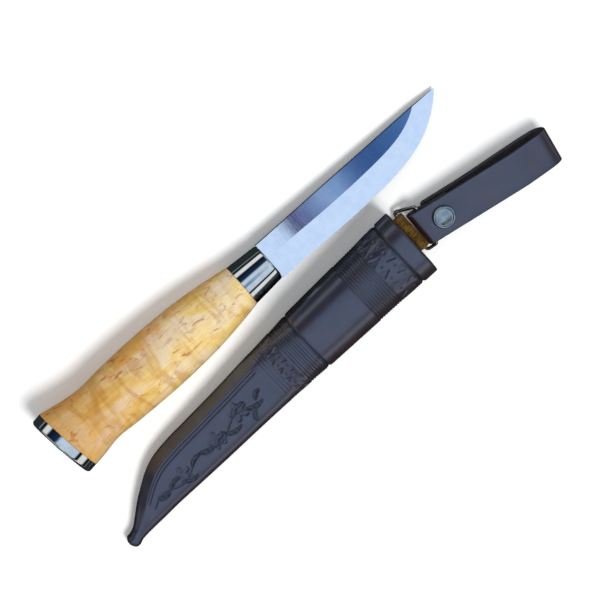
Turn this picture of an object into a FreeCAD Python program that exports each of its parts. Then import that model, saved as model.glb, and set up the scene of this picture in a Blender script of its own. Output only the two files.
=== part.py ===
import FreeCAD
import Part
import math
import os

from FreeCAD import Placement, Rotation, Vector

os.makedirs("parts", exist_ok=True)

# ---------------------------------------------------------------------------
# Driving sizes, in millimetres and degrees. Every value is written once here
# and every piece below reads it from the spreadsheet.
# ---------------------------------------------------------------------------
SIZES = [
    # blade
    ("blade_length", 105.2, "bolster face to tip"),
    ("blade_thickness", 3.0, "flat stock"),
    ("spine_height", 9.35, "spine above the knife's axis"),
    ("edge_depth", 9.5, "cutting edge below the axis at the heel"),
    ("belly_drop", 0.5, "extra depth of the edge at its fullest"),
    ("bevel_height", 10.9, "width of the ground bevel"),
    ("bevel_narrowing", 0.17, "share of that width lost by the tip"),
    ("edge_land", 0.24, "thickness left at the edge"),
    ("ricasso", 5.4, "unground stretch in front of the bolster"),
    ("tang_height", 7.0, "stick tang"),
    ("tang_pin_radius", 2.0, "round end of the tang in the butt cap"),
    ("peen_radius", 3.0, "spread head of the tang"),
    ("peen_height", 0.7, "height of that head"),
    # bolster
    ("bolster_length", 16.4, "wood to blade"),
    ("bolster_rear_height", 20.6, "at the wood"),
    ("bolster_rear_width", 18.4, "at the wood"),
    ("bolster_front_height", 18.3, "at the blade"),
    ("bolster_front_width", 16.4, "at the blade"),
    ("bolster_round", 1.2, "rounded front rim"),
    ("tang_clearance", 0.15, "round the tang in bolster, wood and cap"),
    # handle
    ("handle_length", 100.8, "bolster to butt cap, on the axis"),
    ("wood_proud", 0.1, "wood stands this much outside the metal"),
    ("waist_height", 27.6, "just in front of the flared butt"),
    ("belly_height", 29.8, "fullest part of the grip"),
    ("belly_width", 23.2, "thickness of the grip there"),
    ("butt_height", 33.2, "flared end"),
    ("butt_width", 25.0, "flared end"),
    ("butt_angle", 7.0, "slant of the butt"),
    ("butt_rise", 0.4, "centre of the butt above the knife's axis"),
    # butt cap
    ("cap_thickness", 5.2, "metal cap on the butt"),
    ("cap_round", 1.4, "rounded outer rim"),
    # sheath
    ("tip_space", 13.0, "end of the knob to the blade's tip, when sheathed"),
    ("handle_cover", 48.4, "length of the wood inside the sheath"),
    ("handle_fit", 0.25, "round the palm swell inside the leather"),
    ("blade_pocket_depth", 12.0, "outside thickness along the blade"),
    ("leather_wall", 1.3, "moulded leather"),
    ("knob_depth", 7.0, "thickness of the knob at the tip"),
    ("liner_clearance", 0.05, "liner inside the leather"),
    ("slot_clearance", 0.5, "round the blade in the liner"),
    ("stitch_pitch", 6.4, "back seam"),
    ("stitch_length", 4.4, "back seam"),
    ("thread_width", 0.9, "waxed thread, flattened"),
    # hanger
    ("wire_radius", 0.8, "hanger wire"),
    ("eye_clearance", 0.1, "leather eyes round the wire"),
    ("tab_width", 19.0, "hanger tab on the back of the mouth"),
    ("tab_thickness", 1.5, "hanger tab leather"),
    ("tab_length", 15.0, "tab glued along the back wall"),
    ("tab_reach", 2.2, "mouth to the wire"),
    ("wire_short_side", 10.9, "tab's middle to the wire's near corner"),
    ("wire_long_side", 11.8, "tab's middle to the wire's far corner"),
    # belt loop
    ("strap_width", 17.0, "belt strap"),
    ("strap_thickness", 2.0, "belt strap leather"),
    ("strap_run", 60.15, "wire to the centre of the far fold"),
    ("fold_radius", 6.5, "outside of the far fold"),
    ("return_length", 15.0, "short end turned back under the cap"),
    ("snap_offset", 8.4, "wire to the press stud"),
    ("layer_gap", 0.3, "free space between the moving leather layers"),
    # press stud
    ("stud_cap_radius", 5.3, "visible cap"),
    ("stud_cap_height", 1.9, "visible cap"),
    ("socket_radius", 4.9, "female half"),
    ("socket_height", 2.6, "female half"),
    ("stud_head_radius", 2.3, "male half"),
    ("stud_flange_height", 0.6, "male half"),
    ("barrel_radius", 1.6, "tube through the leather"),
    ("post_head_radius", 4.6, "head on the back of the strap"),
    ("post_head_height", 0.6, "head on the back of the strap"),
    # how the pieces lie
    ("sheath_heading", 2.2, "turn of the sheath beside the knife"),
    ("sheath_back_x", -112.7, "knob from the wood and bolster joint, along"),
    ("sheath_back_y", -56.2, "knob from the knife's axis, across"),
    ("loop_heading", -9.0, "turn of the belt loop"),
    ("loop_reach", 9.5, "mouth to the wire in the strap"),
    ("loop_y", 14.8, "wire in the strap, from the sheath's back line"),
    ("loop_roll", 11.0, "lean of the belt loop on its long edge"),
]

doc = FreeCAD.newDocument("whittling_knife")
sheet = doc.addObject("Spreadsheet::Sheet", "sizes")
for row, (alias, value, note) in enumerate(SIZES, start=1):
    sheet.set("A%d" % row, alias)
    sheet.set("B%d" % row, str(value))
    sheet.set("C%d" % row, note)
    sheet.setAlias("B%d" % row, alias)
doc.recompute()


def size(alias):
    """Return one driving size as a plain number."""
    value = sheet.get(alias)
    return float(getattr(value, "Value", value))


def bind(obj, **expressions):
    """Bind properties of an object to expressions on the sheet."""
    for name, expression in expressions.items():
        obj.setExpression(name.replace("__", "."), expression)
    return obj


def hold(name, shape):
    """Keep a free-form shape as a document object."""
    obj = doc.addObject("Part::Feature", name)
    obj.Shape = shape
    return obj


def box(name, length, width, height, corner):
    """A box bound to the sheet; corner is (x, y, z) expressions."""
    obj = doc.addObject("Part::Box", name)
    bind(obj, Length=length, Width=width, Height=height)
    bind(obj, Placement__Base__x=corner[0])
    bind(obj, Placement__Base__y=corner[1])
    bind(obj, Placement__Base__z=corner[2])
    return obj


def rod(name, radius, length, corner, rotation):
    """A cylinder bound to the sheet, turned by a fixed rotation."""
    obj = doc.addObject("Part::Cylinder", name)
    obj.Placement = Placement(Vector(0, 0, 0), rotation)
    bind(obj, Radius=radius, Height=length)
    bind(obj, Placement__Base__x=corner[0])
    bind(obj, Placement__Base__y=corner[1])
    bind(obj, Placement__Base__z=corner[2])
    return obj


def ellipse(name, height, width, along, across, tilt):
    """An ellipse across the knife's axis; tilt turns it about Z."""
    obj = doc.addObject("Part::Ellipse", name)
    obj.Placement = Placement(Vector(0, 0, 0), turn_z(tilt) * ACROSS)
    bind(obj, MajorRadius="(%s) / 2" % height, MinorRadius="(%s) / 2" % width)
    bind(obj, Placement__Base__x=along, Placement__Base__y=across)
    return obj


def loft(name, sections):
    """A smooth closed loft through sections."""
    obj = doc.addObject("Part::Loft", name)
    obj.Sections = sections
    obj.Solid = True
    obj.Ruled = False
    return obj


def cut(name, base, tool):
    """Base with tool taken out of it."""
    obj = doc.addObject("Part::Cut", name)
    obj.Base = base
    obj.Tool = tool
    return obj


def fuse(name, pieces):
    """Several shapes joined into one."""
    obj = doc.addObject("Part::MultiFuse", name)
    obj.Shapes = pieces
    return obj


def round_edges(name, base, radius, chosen):
    """Round the edges of base that chosen(edge) picks."""
    doc.recompute()
    picked = []
    for index, edge in enumerate(base.Shape.Edges, start=1):
        if chosen(edge):
            picked.append((index, radius, radius))
    obj = doc.addObject("Part::Fillet", name)
    obj.Base = base
    obj.Edges = picked
    return obj


def turn_x(angle):
    return Rotation(Vector(1, 0, 0), angle)


def turn_y(angle):
    return Rotation(Vector(0, 1, 0), angle)


def turn_z(angle):
    return Rotation(Vector(0, 0, 1), angle)


# Local X to the knife's Y, local Y to its Z, local Z along its axis.
ACROSS = Rotation(Vector(0, 1, 0), Vector(0, 0, 1), Vector(1, 0, 0), "ZXY")
ALONG_X = turn_y(90)
ALONG_Y = turn_x(-90)

# ---------------------------------------------------------------------------
# Knife. Local frame: X along the axis to the tip with zero where the wood
# meets the bolster, Y towards the spine, Z through the thickness.
# ---------------------------------------------------------------------------
blade_length = size("blade_length")
bolster_length = size("bolster_length")
handle_length = size("handle_length")
half_blade = size("blade_thickness") / 2
spine = size("spine_height")

# The cutting edge, as shares of the blade's length and of its depth.
EDGE_RUN = [0.0, 0.1, 0.217, 0.42, 0.6, 0.725, 0.834, 0.905, 0.96, 1.0]


def edge_height(share):
    """Height of the cutting edge at a share of the blade's length."""
    heel = -size("edge_depth")
    fullest = heel - size("belly_drop")
    if share <= 0.42:
        blend = share / 0.42
        return heel + (fullest - heel) * blend * blend * (3 - 2 * blend)
    curve = (share - 0.42) / 0.58
    rise = spine - 0.4 - fullest
    return fullest + rise * (0.30 * curve ** 2 + 0.70 * curve ** 4.2)


def edge_points(grow):
    """Points along the edge, moved outwards by grow."""
    points = []
    for share in EDGE_RUN:
        x_here = bolster_length + blade_length * share
        step = 0.004
        low = max(share - step, 0.0)
        high = min(share + step, 1.0)
        run = blade_length * (high - low)
        rise = edge_height(high) - edge_height(low)
        length = math.hypot(run, rise)
        out = Vector(rise / length, -run / length, 0)
        point = Vector(x_here, edge_height(share), 0)
        points.append(point + out * grow)
    return points


def spline(points):
    """A smooth edge through points."""
    curve = Part.BSplineCurve()
    curve.interpolate(points)
    return curve.toShape()


def blade_outline(grow, heel_x):
    """Closed outline of the blade from heel_x to the tip."""
    lower = edge_points(grow)
    start = Vector(heel_x, lower[0].y, 0)
    if heel_x < lower[0].x - 0.01:
        edges = [Part.makeLine(start, lower[0]), spline(lower)]
    else:
        edges = [spline(lower)]
    drop_start = Vector(bolster_length + blade_length * 0.86, spine + grow, 0)
    heel_top = Vector(heel_x, spine + grow, 0)
    edges.append(Part.makeLine(lower[-1], drop_start))
    edges.append(Part.makeLine(drop_start, heel_top))
    edges.append(Part.makeLine(heel_top, start))
    return Part.Wire(Part.__sortEdges__(edges))


def bevel_section(offset, height, lead):
    """Closed wire outside the grind line at one height."""
    inner = []
    narrowing = size("bevel_narrowing") if offset > 0 else 0
    for point, outer in zip(edge_points(0), edge_points(-offset)):
        share = (point.x - bolster_length) / blade_length
        if share < 0.05:
            continue
        late = max(share - 0.5, 0) / 0.5
        spot = outer + (point - outer) * narrowing * late * late * (3 - 2 * late)
        inner.append(Vector(spot.x, spot.y, height))
    first_x = bolster_length + size("ricasso") + lead
    inner.insert(0, Vector(first_x, inner[0].y - 0.02 * offset, height))
    end_rise = (edge_height(1.0) - edge_height(0.996)) / (0.004 * blade_length)
    past_tip = inner[-1] + Vector(1, end_rise, 0).normalize() * 25
    far_x = bolster_length + blade_length + 60
    far_y = -size("edge_depth") - 25
    low_start = Vector(first_x, far_y, height)
    low_end = Vector(far_x, far_y, height)
    edges = [
        spline(inner),
        Part.makeLine(inner[-1], past_tip),
        Part.makeLine(past_tip, low_end),
        Part.makeLine(low_end, low_start),
        Part.makeLine(low_start, inner[0]),
    ]
    return Part.Wire(edges)


outline = hold("blade_outline", blade_outline(0, bolster_length))
blank = doc.addObject("Part::Extrusion", "blade_blank")
blank.Base = outline
blank.DirMode = "Custom"
blank.Dir = Vector(0, 0, 1)
blank.Solid = True
blank.Symmetric = True
bind(blank, LengthFwd="sizes.blade_thickness")

land = size("edge_land") / 2
over = 0.3
outside = 0.6
slope = (half_blade - land) / size("bevel_height")
reach = size("bevel_height") + over / slope
grind_low = hold("grind_low", bevel_section(-outside, land - outside * slope, 0))
grind_high = hold("grind_high", bevel_section(reach, half_blade + over, 1.2))
grind = doc.addObject("Part::Loft", "grind_upper")
grind.Sections = [grind_low, grind_high]
grind.Solid = True
grind.Ruled = True
grind_under = doc.addObject("Part::Mirroring", "grind_lower")
grind_under.Source = grind
grind_under.Normal = Vector(0, 0, 1)
ground_one = cut("blade_ground_one", blank, grind)
ground = cut("blade_ground", ground_one, grind_under)
tang = box(
    "tang_bar",
    "sizes.handle_length - 5 + sizes.bolster_length + 1",
    "sizes.tang_height",
    "sizes.blade_thickness",
    ("5 - sizes.handle_length", "-sizes.tang_height / 2", "-sizes.blade_thickness / 2"),
)
pin = rod(
    "tang_pin",
    "sizes.tang_pin_radius",
    "sizes.cap_thickness + 8",
    (
        "-sizes.handle_length - sizes.cap_thickness / cos(sizes.butt_angle * 1 deg)"
        " + sizes.butt_rise * tan(sizes.butt_angle * 1 deg) - sizes.peen_height / 2",
        "0",
        "0",
    ),
    ALONG_X,
)
peen = doc.addObject("Part::Cone", "tang_peen")
peen.Placement = Placement(Vector(0, 0, 0), turn_z(size("butt_angle")) * ALONG_X)
bind(peen, Radius1="sizes.peen_radius - 0.8", Radius2="sizes.peen_radius")
bind(peen, Height="sizes.peen_height")
bind(
    peen,
    Placement__Base__x=(
        "-sizes.handle_length - (sizes.cap_thickness + sizes.peen_height)"
        " / cos(sizes.butt_angle * 1 deg)"
        " + sizes.butt_rise * tan(sizes.butt_angle * 1 deg)"
    ),
)
blade = fuse("blade", [ground, tang, pin, peen])

# Bolster: a tapered oval block with a rounded front rim and a slot.
bolster_rear = ellipse(
    "bolster_rear", "sizes.bolster_rear_height", "sizes.bolster_rear_width", "0", "0", 0
)
bolster_front = ellipse(
    "bolster_front",
    "sizes.bolster_front_height",
    "sizes.bolster_front_width",
    "sizes.bolster_length",
    "0",
    0,
)
bolster_block = loft("bolster_block", [bolster_rear, bolster_front])
bolster_rounded = round_edges(
    "bolster_rounded",
    bolster_block,
    size("bolster_round"),
    lambda edge: edge.BoundBox.XMin > bolster_length - 0.1,
)
bolster_slot = box(
    "bolster_slot",
    "sizes.bolster_length + 2",
    "sizes.tang_height + 2 * sizes.tang_clearance",
    "sizes.blade_thickness + 2 * sizes.tang_clearance",
    (
        "-1",
        "-sizes.tang_height / 2 - sizes.tang_clearance",
        "-sizes.blade_thickness / 2 - sizes.tang_clearance",
    ),
)
bolster = cut("bolster", bolster_rounded, bolster_slot)

# Handle: a smooth loft of ovals, narrow at the bolster, full in the palm,
# waisted and flared to the slanted butt.
butt_angle = size("butt_angle")
HANDLE_OVALS = [
    # height, width, along, across, tilt
    (
        "sizes.butt_height",
        "sizes.butt_width",
        "-sizes.handle_length",
        "sizes.butt_rise",
        butt_angle,
    ),
    (
        "sizes.butt_height * 0.55 + sizes.waist_height * 0.45",
        "sizes.butt_width * 0.5 + sizes.belly_width * 0.47",
        "-sizes.handle_length * 0.935",
        "0",
        butt_angle * 0.6,
    ),
    (
        "sizes.waist_height",
        "sizes.belly_width * 0.94",
        "-sizes.handle_length * 0.84",
        "0",
        0,
    ),
    (
        "sizes.waist_height * 0.45 + sizes.belly_height * 0.55",
        "sizes.belly_width * 0.97",
        "-sizes.handle_length * 0.71",
        "0",
        0,
    ),
    ("sizes.belly_height", "sizes.belly_width", "-sizes.handle_length * 0.47", "0", 0),
    (
        "sizes.belly_height * 0.935",
        "sizes.belly_width * 0.965",
        "-sizes.handle_length * 0.25",
        "0",
        0,
    ),
    (
        "sizes.belly_height * 0.42 + sizes.bolster_rear_height * 0.55",
        "sizes.belly_width * 0.45 + sizes.bolster_rear_width * 0.53",
        "-sizes.handle_length * 0.09",
        "0",
        0,
    ),
    (
        "sizes.bolster_rear_height + 2 * sizes.wood_proud",
        "sizes.bolster_rear_width + 2 * sizes.wood_proud",
        "0",
        "0",
        0,
    ),
]
handle_ovals = []
for number, (high, wide, along, across, tilt) in enumerate(HANDLE_OVALS):
    handle_ovals.append(ellipse("handle_oval_%d" % number, high, wide, along, across, tilt))
handle_block = loft("handle_block", handle_ovals)
tang_hole = box(
    "tang_hole",
    "sizes.handle_length - 5 + sizes.tang_clearance + 1",
    "sizes.tang_height + 2 * sizes.tang_clearance",
    "sizes.blade_thickness + 2 * sizes.tang_clearance",
    (
        "5 - sizes.handle_length - sizes.tang_clearance",
        "-sizes.tang_height / 2 - sizes.tang_clearance",
        "-sizes.blade_thickness / 2 - sizes.tang_clearance",
    ),
)
pin_hole = rod(
    "pin_hole",
    "sizes.tang_pin_radius + sizes.tang_clearance",
    "sizes.cap_thickness + 20",
    ("-sizes.handle_length - sizes.cap_thickness - 10", "0", "0"),
    ALONG_X,
)
handle_holes = fuse("handle_holes", [tang_hole, pin_hole])
handle = cut("handle", handle_block, handle_holes)

# Butt cap: a thick oval plate on the slanted end of the wood.
cap_oval = ellipse(
    "cap_oval",
    "sizes.butt_height - 2 * sizes.wood_proud",
    "sizes.butt_width - 2 * sizes.wood_proud",
    "-sizes.handle_length",
    "sizes.butt_rise",
    butt_angle,
)
cap_block = doc.addObject("Part::Extrusion", "cap_block")
cap_block.Base = cap_oval
cap_block.DirMode = "Custom"
cap_block.Dir = turn_z(butt_angle).multVec(Vector(-1, 0, 0))
cap_block.Solid = True
bind(cap_block, LengthFwd="sizes.cap_thickness")
cap_outward = turn_z(butt_angle).multVec(Vector(-1, 0, 0))


def on_cap_face(edge):
    """True for the rim of the cap's outer face."""
    centre = edge.BoundBox.Center - Vector(-handle_length, size("butt_rise"), 0)
    return centre.dot(cap_outward) > size("cap_thickness") - 0.2


cap_rounded = round_edges("cap_rounded", cap_block, size("cap_round"), on_cap_face)
cap_hole = rod(
    "cap_hole",
    "sizes.tang_pin_radius + sizes.tang_clearance",
    "sizes.cap_thickness + 20",
    ("-sizes.handle_length - sizes.cap_thickness - 10", "0", "0"),
    ALONG_X,
)
butt_cap = cut("butt_cap", cap_rounded, cap_hole)

# ---------------------------------------------------------------------------
# Sheath. Local frame: X along the straight back edge from the knob to the
# mouth, Y towards the curved edge, Z away from the seam side.
# ---------------------------------------------------------------------------
wall = size("leather_wall")
joint = size("tip_space") + blade_length + bolster_length
sheath_length = joint + size("handle_cover")
sheath_width = size("belly_height") + 2 * (size("handle_fit") + wall)
mouth_depth = size("belly_width") + 2 * (size("handle_fit") + wall)
pocket = size("blade_pocket_depth")
knob = size("knob_depth")
width_ratio = sheath_width / 32.8

# place along the length (mm of a 183 mm sheath), back edge, curved edge,
# thickness, squareness of the section
SHEATH_RIBS = [
    (0.0, 0.1, 2.9, 0.45 * knob, 2.0),
    (0.8, -1.3, 4.1, 0.82 * knob, 2.0),
    (2.8, -2.2, 4.6, knob, 2.1),
    (5.6, -1.3, 5.5, 0.95 * knob, 2.2),
    (8.8, -0.9, 7.8, 1.04 * knob, 2.4),
    (14.6, -0.65, 12.4, 0.76 * pocket, 2.6),
    (20.6, -0.5, 16.4, 0.84 * pocket, 2.8),
    (27.6, -0.2, 20.5, 0.90 * pocket, 3.0),
    (34.0, -0.15, 22.9, 0.93 * pocket, 3.1),
    (43.6, -0.2, 24.3, 0.97 * pocket, 3.1),
    (55.6, -0.2, 25.0, pocket, 3.1),
    (78.6, 0.0, 26.3, 1.04 * pocket, 3.1),
    (94.0, 0.0, 27.5, 1.10 * pocket, 3.0),
    (103.0, -0.1, 28.1, 0.7 * pocket + 0.27 * mouth_depth, 2.8),
    (112.0, -0.2, 28.8, 0.25 * pocket + 0.66 * mouth_depth, 2.6),
    (119.5, -0.4, 29.5, 0.925 * mouth_depth, 2.5),
    (128.0, -0.5, 29.9, 0.955 * mouth_depth, 2.5),
    (138.0, -0.6, 30.3, 0.965 * mouth_depth, 2.5),
    (149.0, -0.7, 30.7, 0.975 * mouth_depth, 2.5),
    (160.0, -0.8, 31.1, 0.985 * mouth_depth, 2.5),
    (171.0, -0.9, 31.5, 0.993 * mouth_depth, 2.5),
    (183.0, -1.0, 31.8, mouth_depth, 2.5),
    (195.0, -1.1, 32.1, 1.005 * mouth_depth, 2.5),
]
BARREL_RIB = 16
MOUTH_RIB = 21


RIB_POINTS = 20


def rib_wire(rib, grow):
    """One closed rounded section of the sheath, grown by grow."""
    place, back, front, depth, square = rib
    x_here = place * sheath_length / 183.0
    centre = (back + front) / 2 * width_ratio
    half_width = (front - back) / 2 * width_ratio + grow
    half_depth = depth / 2 + grow
    points = []
    for step in range(RIB_POINTS):
        angle = 2 * math.pi * step / RIB_POINTS
        cosine = math.cos(angle)
        sine = math.sin(angle)
        y_here = half_width * math.copysign(abs(cosine) ** (2 / square), cosine)
        z_here = half_depth * math.copysign(abs(sine) ** (2 / square), sine)
        points.append(Vector(x_here, centre + y_here, z_here))
    curve = Part.BSplineCurve()
    curve.interpolate(Points=points, PeriodicFlag=True)
    return Part.Wire([curve.toShape()])


def rib_at(place):
    """Back edge, curved edge and depth of the sheath at a place."""
    for low, high in zip(SHEATH_RIBS, SHEATH_RIBS[1:]):
        if low[0] <= place <= high[0]:
            share = (place - low[0]) / (high[0] - low[0])
            return [a + (b - a) * share for a, b in zip(low, high)]
    return list(SHEATH_RIBS[-1])


def sheath_loft(name, grow, first):
    """Loft through the ribs from index first on, grown by grow."""
    ribs = [hold("%s_rib_%d" % (name, i), rib_wire(SHEATH_RIBS[i], grow))
            for i in range(first, len(SHEATH_RIBS))]
    return loft(name, ribs)


def slab(name, low, high, reach_out):
    """A wide box between two places along the sheath."""
    shape = Part.makeBox(high - low, 2 * reach_out, 2 * reach_out,
                         Vector(low, -reach_out, -reach_out))
    return hold(name, shape)


outer = sheath_loft("sheath_outer", 0, 0)
inner = sheath_loft("sheath_inner", -wall, 4)
past_mouth = slab("past_mouth", sheath_length, sheath_length + 40, 80)
shell = cut("sheath_shell", cut("sheath_trimmed", outer, past_mouth), inner)

# Back seam: recesses along the middle of the back and a stitch in each.
stitch_length = size("stitch_length")
thread = size("thread_width")
recesses = []
stitches = []
place = 13.0
while place < 160.0:
    rib = rib_at(place)
    ahead = rib_at(place + 1.0)
    x_here = place * sheath_length / 183.0
    middle = (rib[1] + rib[2]) / 2 * width_ratio
    slope = math.degrees(math.atan2(ahead[3] / 2 - rib[3] / 2, 1.0))
    spot = Placement(Vector(x_here, middle, -rib[3] / 2), turn_y(slope))
    recess = Part.makeBox(stitch_length + 0.4, thread + 0.4, 1.2,
                          Vector(-stitch_length / 2 - 0.2, -thread / 2 - 0.2, -0.6))
    stitch = Part.makeBox(stitch_length, thread, 0.45,
                          Vector(-stitch_length / 2, -thread / 2, 0.15))
    recess.Placement = spot
    stitch.Placement = spot
    recesses.append(recess)
    stitches.append(stitch)
    place += size("stitch_pitch")
seam_recess = hold("seam_recess", Part.makeCompound(recesses))
sheath_leather = cut("sheath_leather", shell, seam_recess)
seam_thread = hold("seam_thread", Part.makeCompound(stitches))

# Liner: a moulded insert that fills the pocket up to the bolster, with a
# slot that follows the blade.
liner_fill = sheath_loft("liner_fill", -wall - size("liner_clearance"), 5)
liner_mouth = joint - bolster_length - 0.6
past_liner = slab("past_liner", liner_mouth, sheath_length + 40, 80)
liner_block = cut("liner_block", liner_fill, past_liner)
slot_grow = size("slot_clearance")
slot_wire = blade_outline(slot_grow, bolster_length - 6)
slot_face = Part.Face(slot_wire)
slot_shape = slot_face.extrude(Vector(0, 0, 2 * (half_blade + slot_grow * 0.8)))
slot_shape.translate(Vector(0, 0, -(half_blade + slot_grow * 0.8)))
tip_wall = 0.8
mouth_rib = SHEATH_RIBS[MOUTH_RIB]
mouth_centre = (mouth_rib[1] + mouth_rib[2]) / 2 * width_ratio
lean = math.degrees(math.atan2(
    mouth_centre - 1.05 - (spine - 0.4) - wall - slot_grow - tip_wall + 0.6,
    sheath_length - joint + bolster_length + blade_length))
sheathed_y = mouth_centre - 1.05 - (sheath_length - joint) * math.tan(math.radians(lean))
sheathed = Placement(Vector(joint, sheathed_y, 0), turn_z(180 + lean))
slot_shape.Placement = sheathed.multiply(slot_shape.Placement)
blade_slot = hold("blade_slot", slot_shape)
blade_liner = cut("blade_liner", liner_block, blade_slot)

# Hanger tab: a leather strip on the outside of the back wall, ending in an
# eye round the hanger wire.
tab_centre = mouth_centre + 0.9
tab_width = size("tab_width")
tab_thickness = size("tab_thickness")
wire = size("wire_radius")
eye = wire + size("eye_clearance")
tab_outer = sheath_loft("tab_outer", tab_thickness + 0.02, MOUTH_RIB - 2)
tab_inner = sheath_loft("tab_inner", 0.02, MOUTH_RIB - 2)
tab_reach = size("tab_reach")
bar_x = sheath_length + tab_reach
bar_z = -mouth_depth / 2 - 0.02 - tab_thickness / 2
tab_zone = hold("tab_zone", Part.makeBox(
    size("tab_length") + tab_reach, tab_width, 30,
    Vector(sheath_length - size("tab_length"), tab_centre - tab_width / 2, -30)))
tab_skin = cut("tab_skin", tab_outer, tab_inner)
tab_strip = doc.addObject("Part::Common", "tab_strip")
tab_strip.Base = tab_skin
tab_strip.Tool = tab_zone
tab_roll = hold("tab_roll", Part.makeCylinder(
    eye + tab_thickness, tab_width,
    Vector(bar_x, tab_centre - tab_width / 2, bar_z), Vector(0, 1, 0)))
tab_eye = hold("tab_eye", Part.makeCylinder(
    eye, tab_width + 4,
    Vector(bar_x, tab_centre - tab_width / 2 - 2, bar_z), Vector(0, 1, 0)))
hanger_tab = cut("hanger_tab", fuse("tab_whole", [tab_strip, tab_roll]), tab_eye)

# ---------------------------------------------------------------------------
# Belt loop. Local frame: X along the strap from the wire to the far fold, Y
# across the strap, Z from the back layer to the front layer; the wire is at
# the origin.
# ---------------------------------------------------------------------------
strap_thickness = size("strap_thickness")
strap_width = size("strap_width")
run = size("strap_run")
fold = size("fold_radius")
gap = size("layer_gap")
snap_x = size("snap_offset")
roll = eye + strap_thickness
front_top = roll
front_low = eye
return_low = eye - 0.05 - strap_thickness
return_x = size("return_length")
return_flat = snap_x - size("socket_radius") - 0.3
fold_z = front_top - fold
socket_low = return_low - size("socket_height")
flange_top = socket_low - gap
back_top = flange_top - size("stud_flange_height")
back_low = back_top - strap_thickness


def arc(centre, radius, start, end):
    """Arc in the XZ plane between two angles in degrees."""
    marks = []
    for angle in (start, (start + end) / 2, end):
        radians = math.radians(angle)
        marks.append(Vector(centre[0] + radius * math.cos(radians), 0,
                            centre[1] + radius * math.sin(radians)))
    return Part.Arc(marks[0], marks[1], marks[2]).toShape(), marks[0], marks[2]


def across_strap(edges):
    """Extrude a closed XZ outline across the strap's width."""
    wire_loop = Part.Wire(edges)
    face = Part.Face(wire_loop)
    shape = face.extrude(Vector(0, strap_width, 0))
    shape.translate(Vector(0, -strap_width / 2, 0))
    return shape


def xz(x_here, z_here):
    return Vector(x_here, 0, z_here)


split_angle = -77.5
outer_roll, roll_low, roll_high = arc((0, 0), roll, 270, 90)
outer_fold, fold_high, fold_end = arc((run, fold_z), fold, 90, split_angle)
inner_fold, in_fold_end, in_fold_high = arc(
    (run, fold_z), fold - strap_thickness, split_angle, 90)
inner_roll, in_roll_high, in_roll_low = arc((0, 0), eye, 90, 300)
front_edges = [
    Part.makeLine(xz(return_x, return_low), xz(return_flat, return_low)),
    Part.makeLine(xz(return_flat, return_low), roll_low),
    outer_roll,
    Part.makeLine(roll_high, fold_high),
    outer_fold,
    Part.makeLine(fold_end, in_fold_end),
    inner_fold,
    Part.makeLine(in_fold_high, in_roll_high),
    inner_roll,
    Part.makeLine(in_roll_low, xz(return_flat - 0.3, eye - 0.05)),
    Part.makeLine(xz(return_flat - 0.3, eye - 0.05), xz(return_x, eye - 0.05)),
    Part.makeLine(xz(return_x, eye - 0.05), xz(return_x, return_low)),
]
strap_block = hold("strap_block", across_strap(front_edges))
strap_hole = rod(
    "strap_hole", "sizes.barrel_radius + 0.02", "20", ("sizes.snap_offset", "0", "-10"),
    Rotation())
belt_strap = cut("belt_strap", strap_block, strap_hole)

fold_floor = fold_z - fold
hinge_z = fold_floor + strap_thickness / 2
round_end, back_fold_low, back_fold_high = arc(
    (run, hinge_z), strap_thickness / 2, -90, 90)
flap_end = 2.5
flat_end = snap_x + size("post_head_radius") + 4


def back_run(level, floor):
    """Smooth line from the fold's floor up to the flat under the stud."""
    drop = floor - level
    length = run - flat_end
    marks = []
    for share in (0.0, 0.12, 0.3, 0.5, 0.7, 0.88, 1.0):
        blend = share * share * (3 - 2 * share)
        marks.append(xz(flat_end + length * share, level + drop * blend))
    curve = Part.BSplineCurve()
    curve.interpolate(Points=marks, InitialTangent=Vector(1, 0, 0),
                      FinalTangent=Vector(1, 0, 0))
    return curve.toShape(), marks[0], marks[-1]


low_run, low_start, low_finish = back_run(back_low, fold_floor)
high_run, high_start, high_finish = back_run(back_top, fold_floor + strap_thickness)
flap_edges = [
    round_end,
    low_run,
    Part.makeLine(low_start, xz(flap_end, back_low)),
    Part.makeLine(xz(flap_end, back_low), xz(flap_end, back_top)),
    Part.makeLine(xz(flap_end, back_top), high_start),
    high_run,
]
flap_block = hold("flap_block", across_strap(Part.__sortEdges__(flap_edges)))
flap_hole = rod(
    "flap_hole", "sizes.barrel_radius + 0.02", "20", ("sizes.snap_offset", "0", "-20"),
    Rotation())
belt_flap = cut("belt_flap", flap_block, flap_hole)


def turned(name, outline_points):
    """A body turned about the press stud's axis from (radius, z) pairs."""
    marks = [xz(snap_x + radius, level) for radius, level in outline_points]
    marks.append(marks[0])
    face = Part.Face(Part.makePolygon(marks))
    return hold(name, face.revolve(Vector(snap_x, 0, 0), Vector(0, 0, 1), 360))


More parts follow.
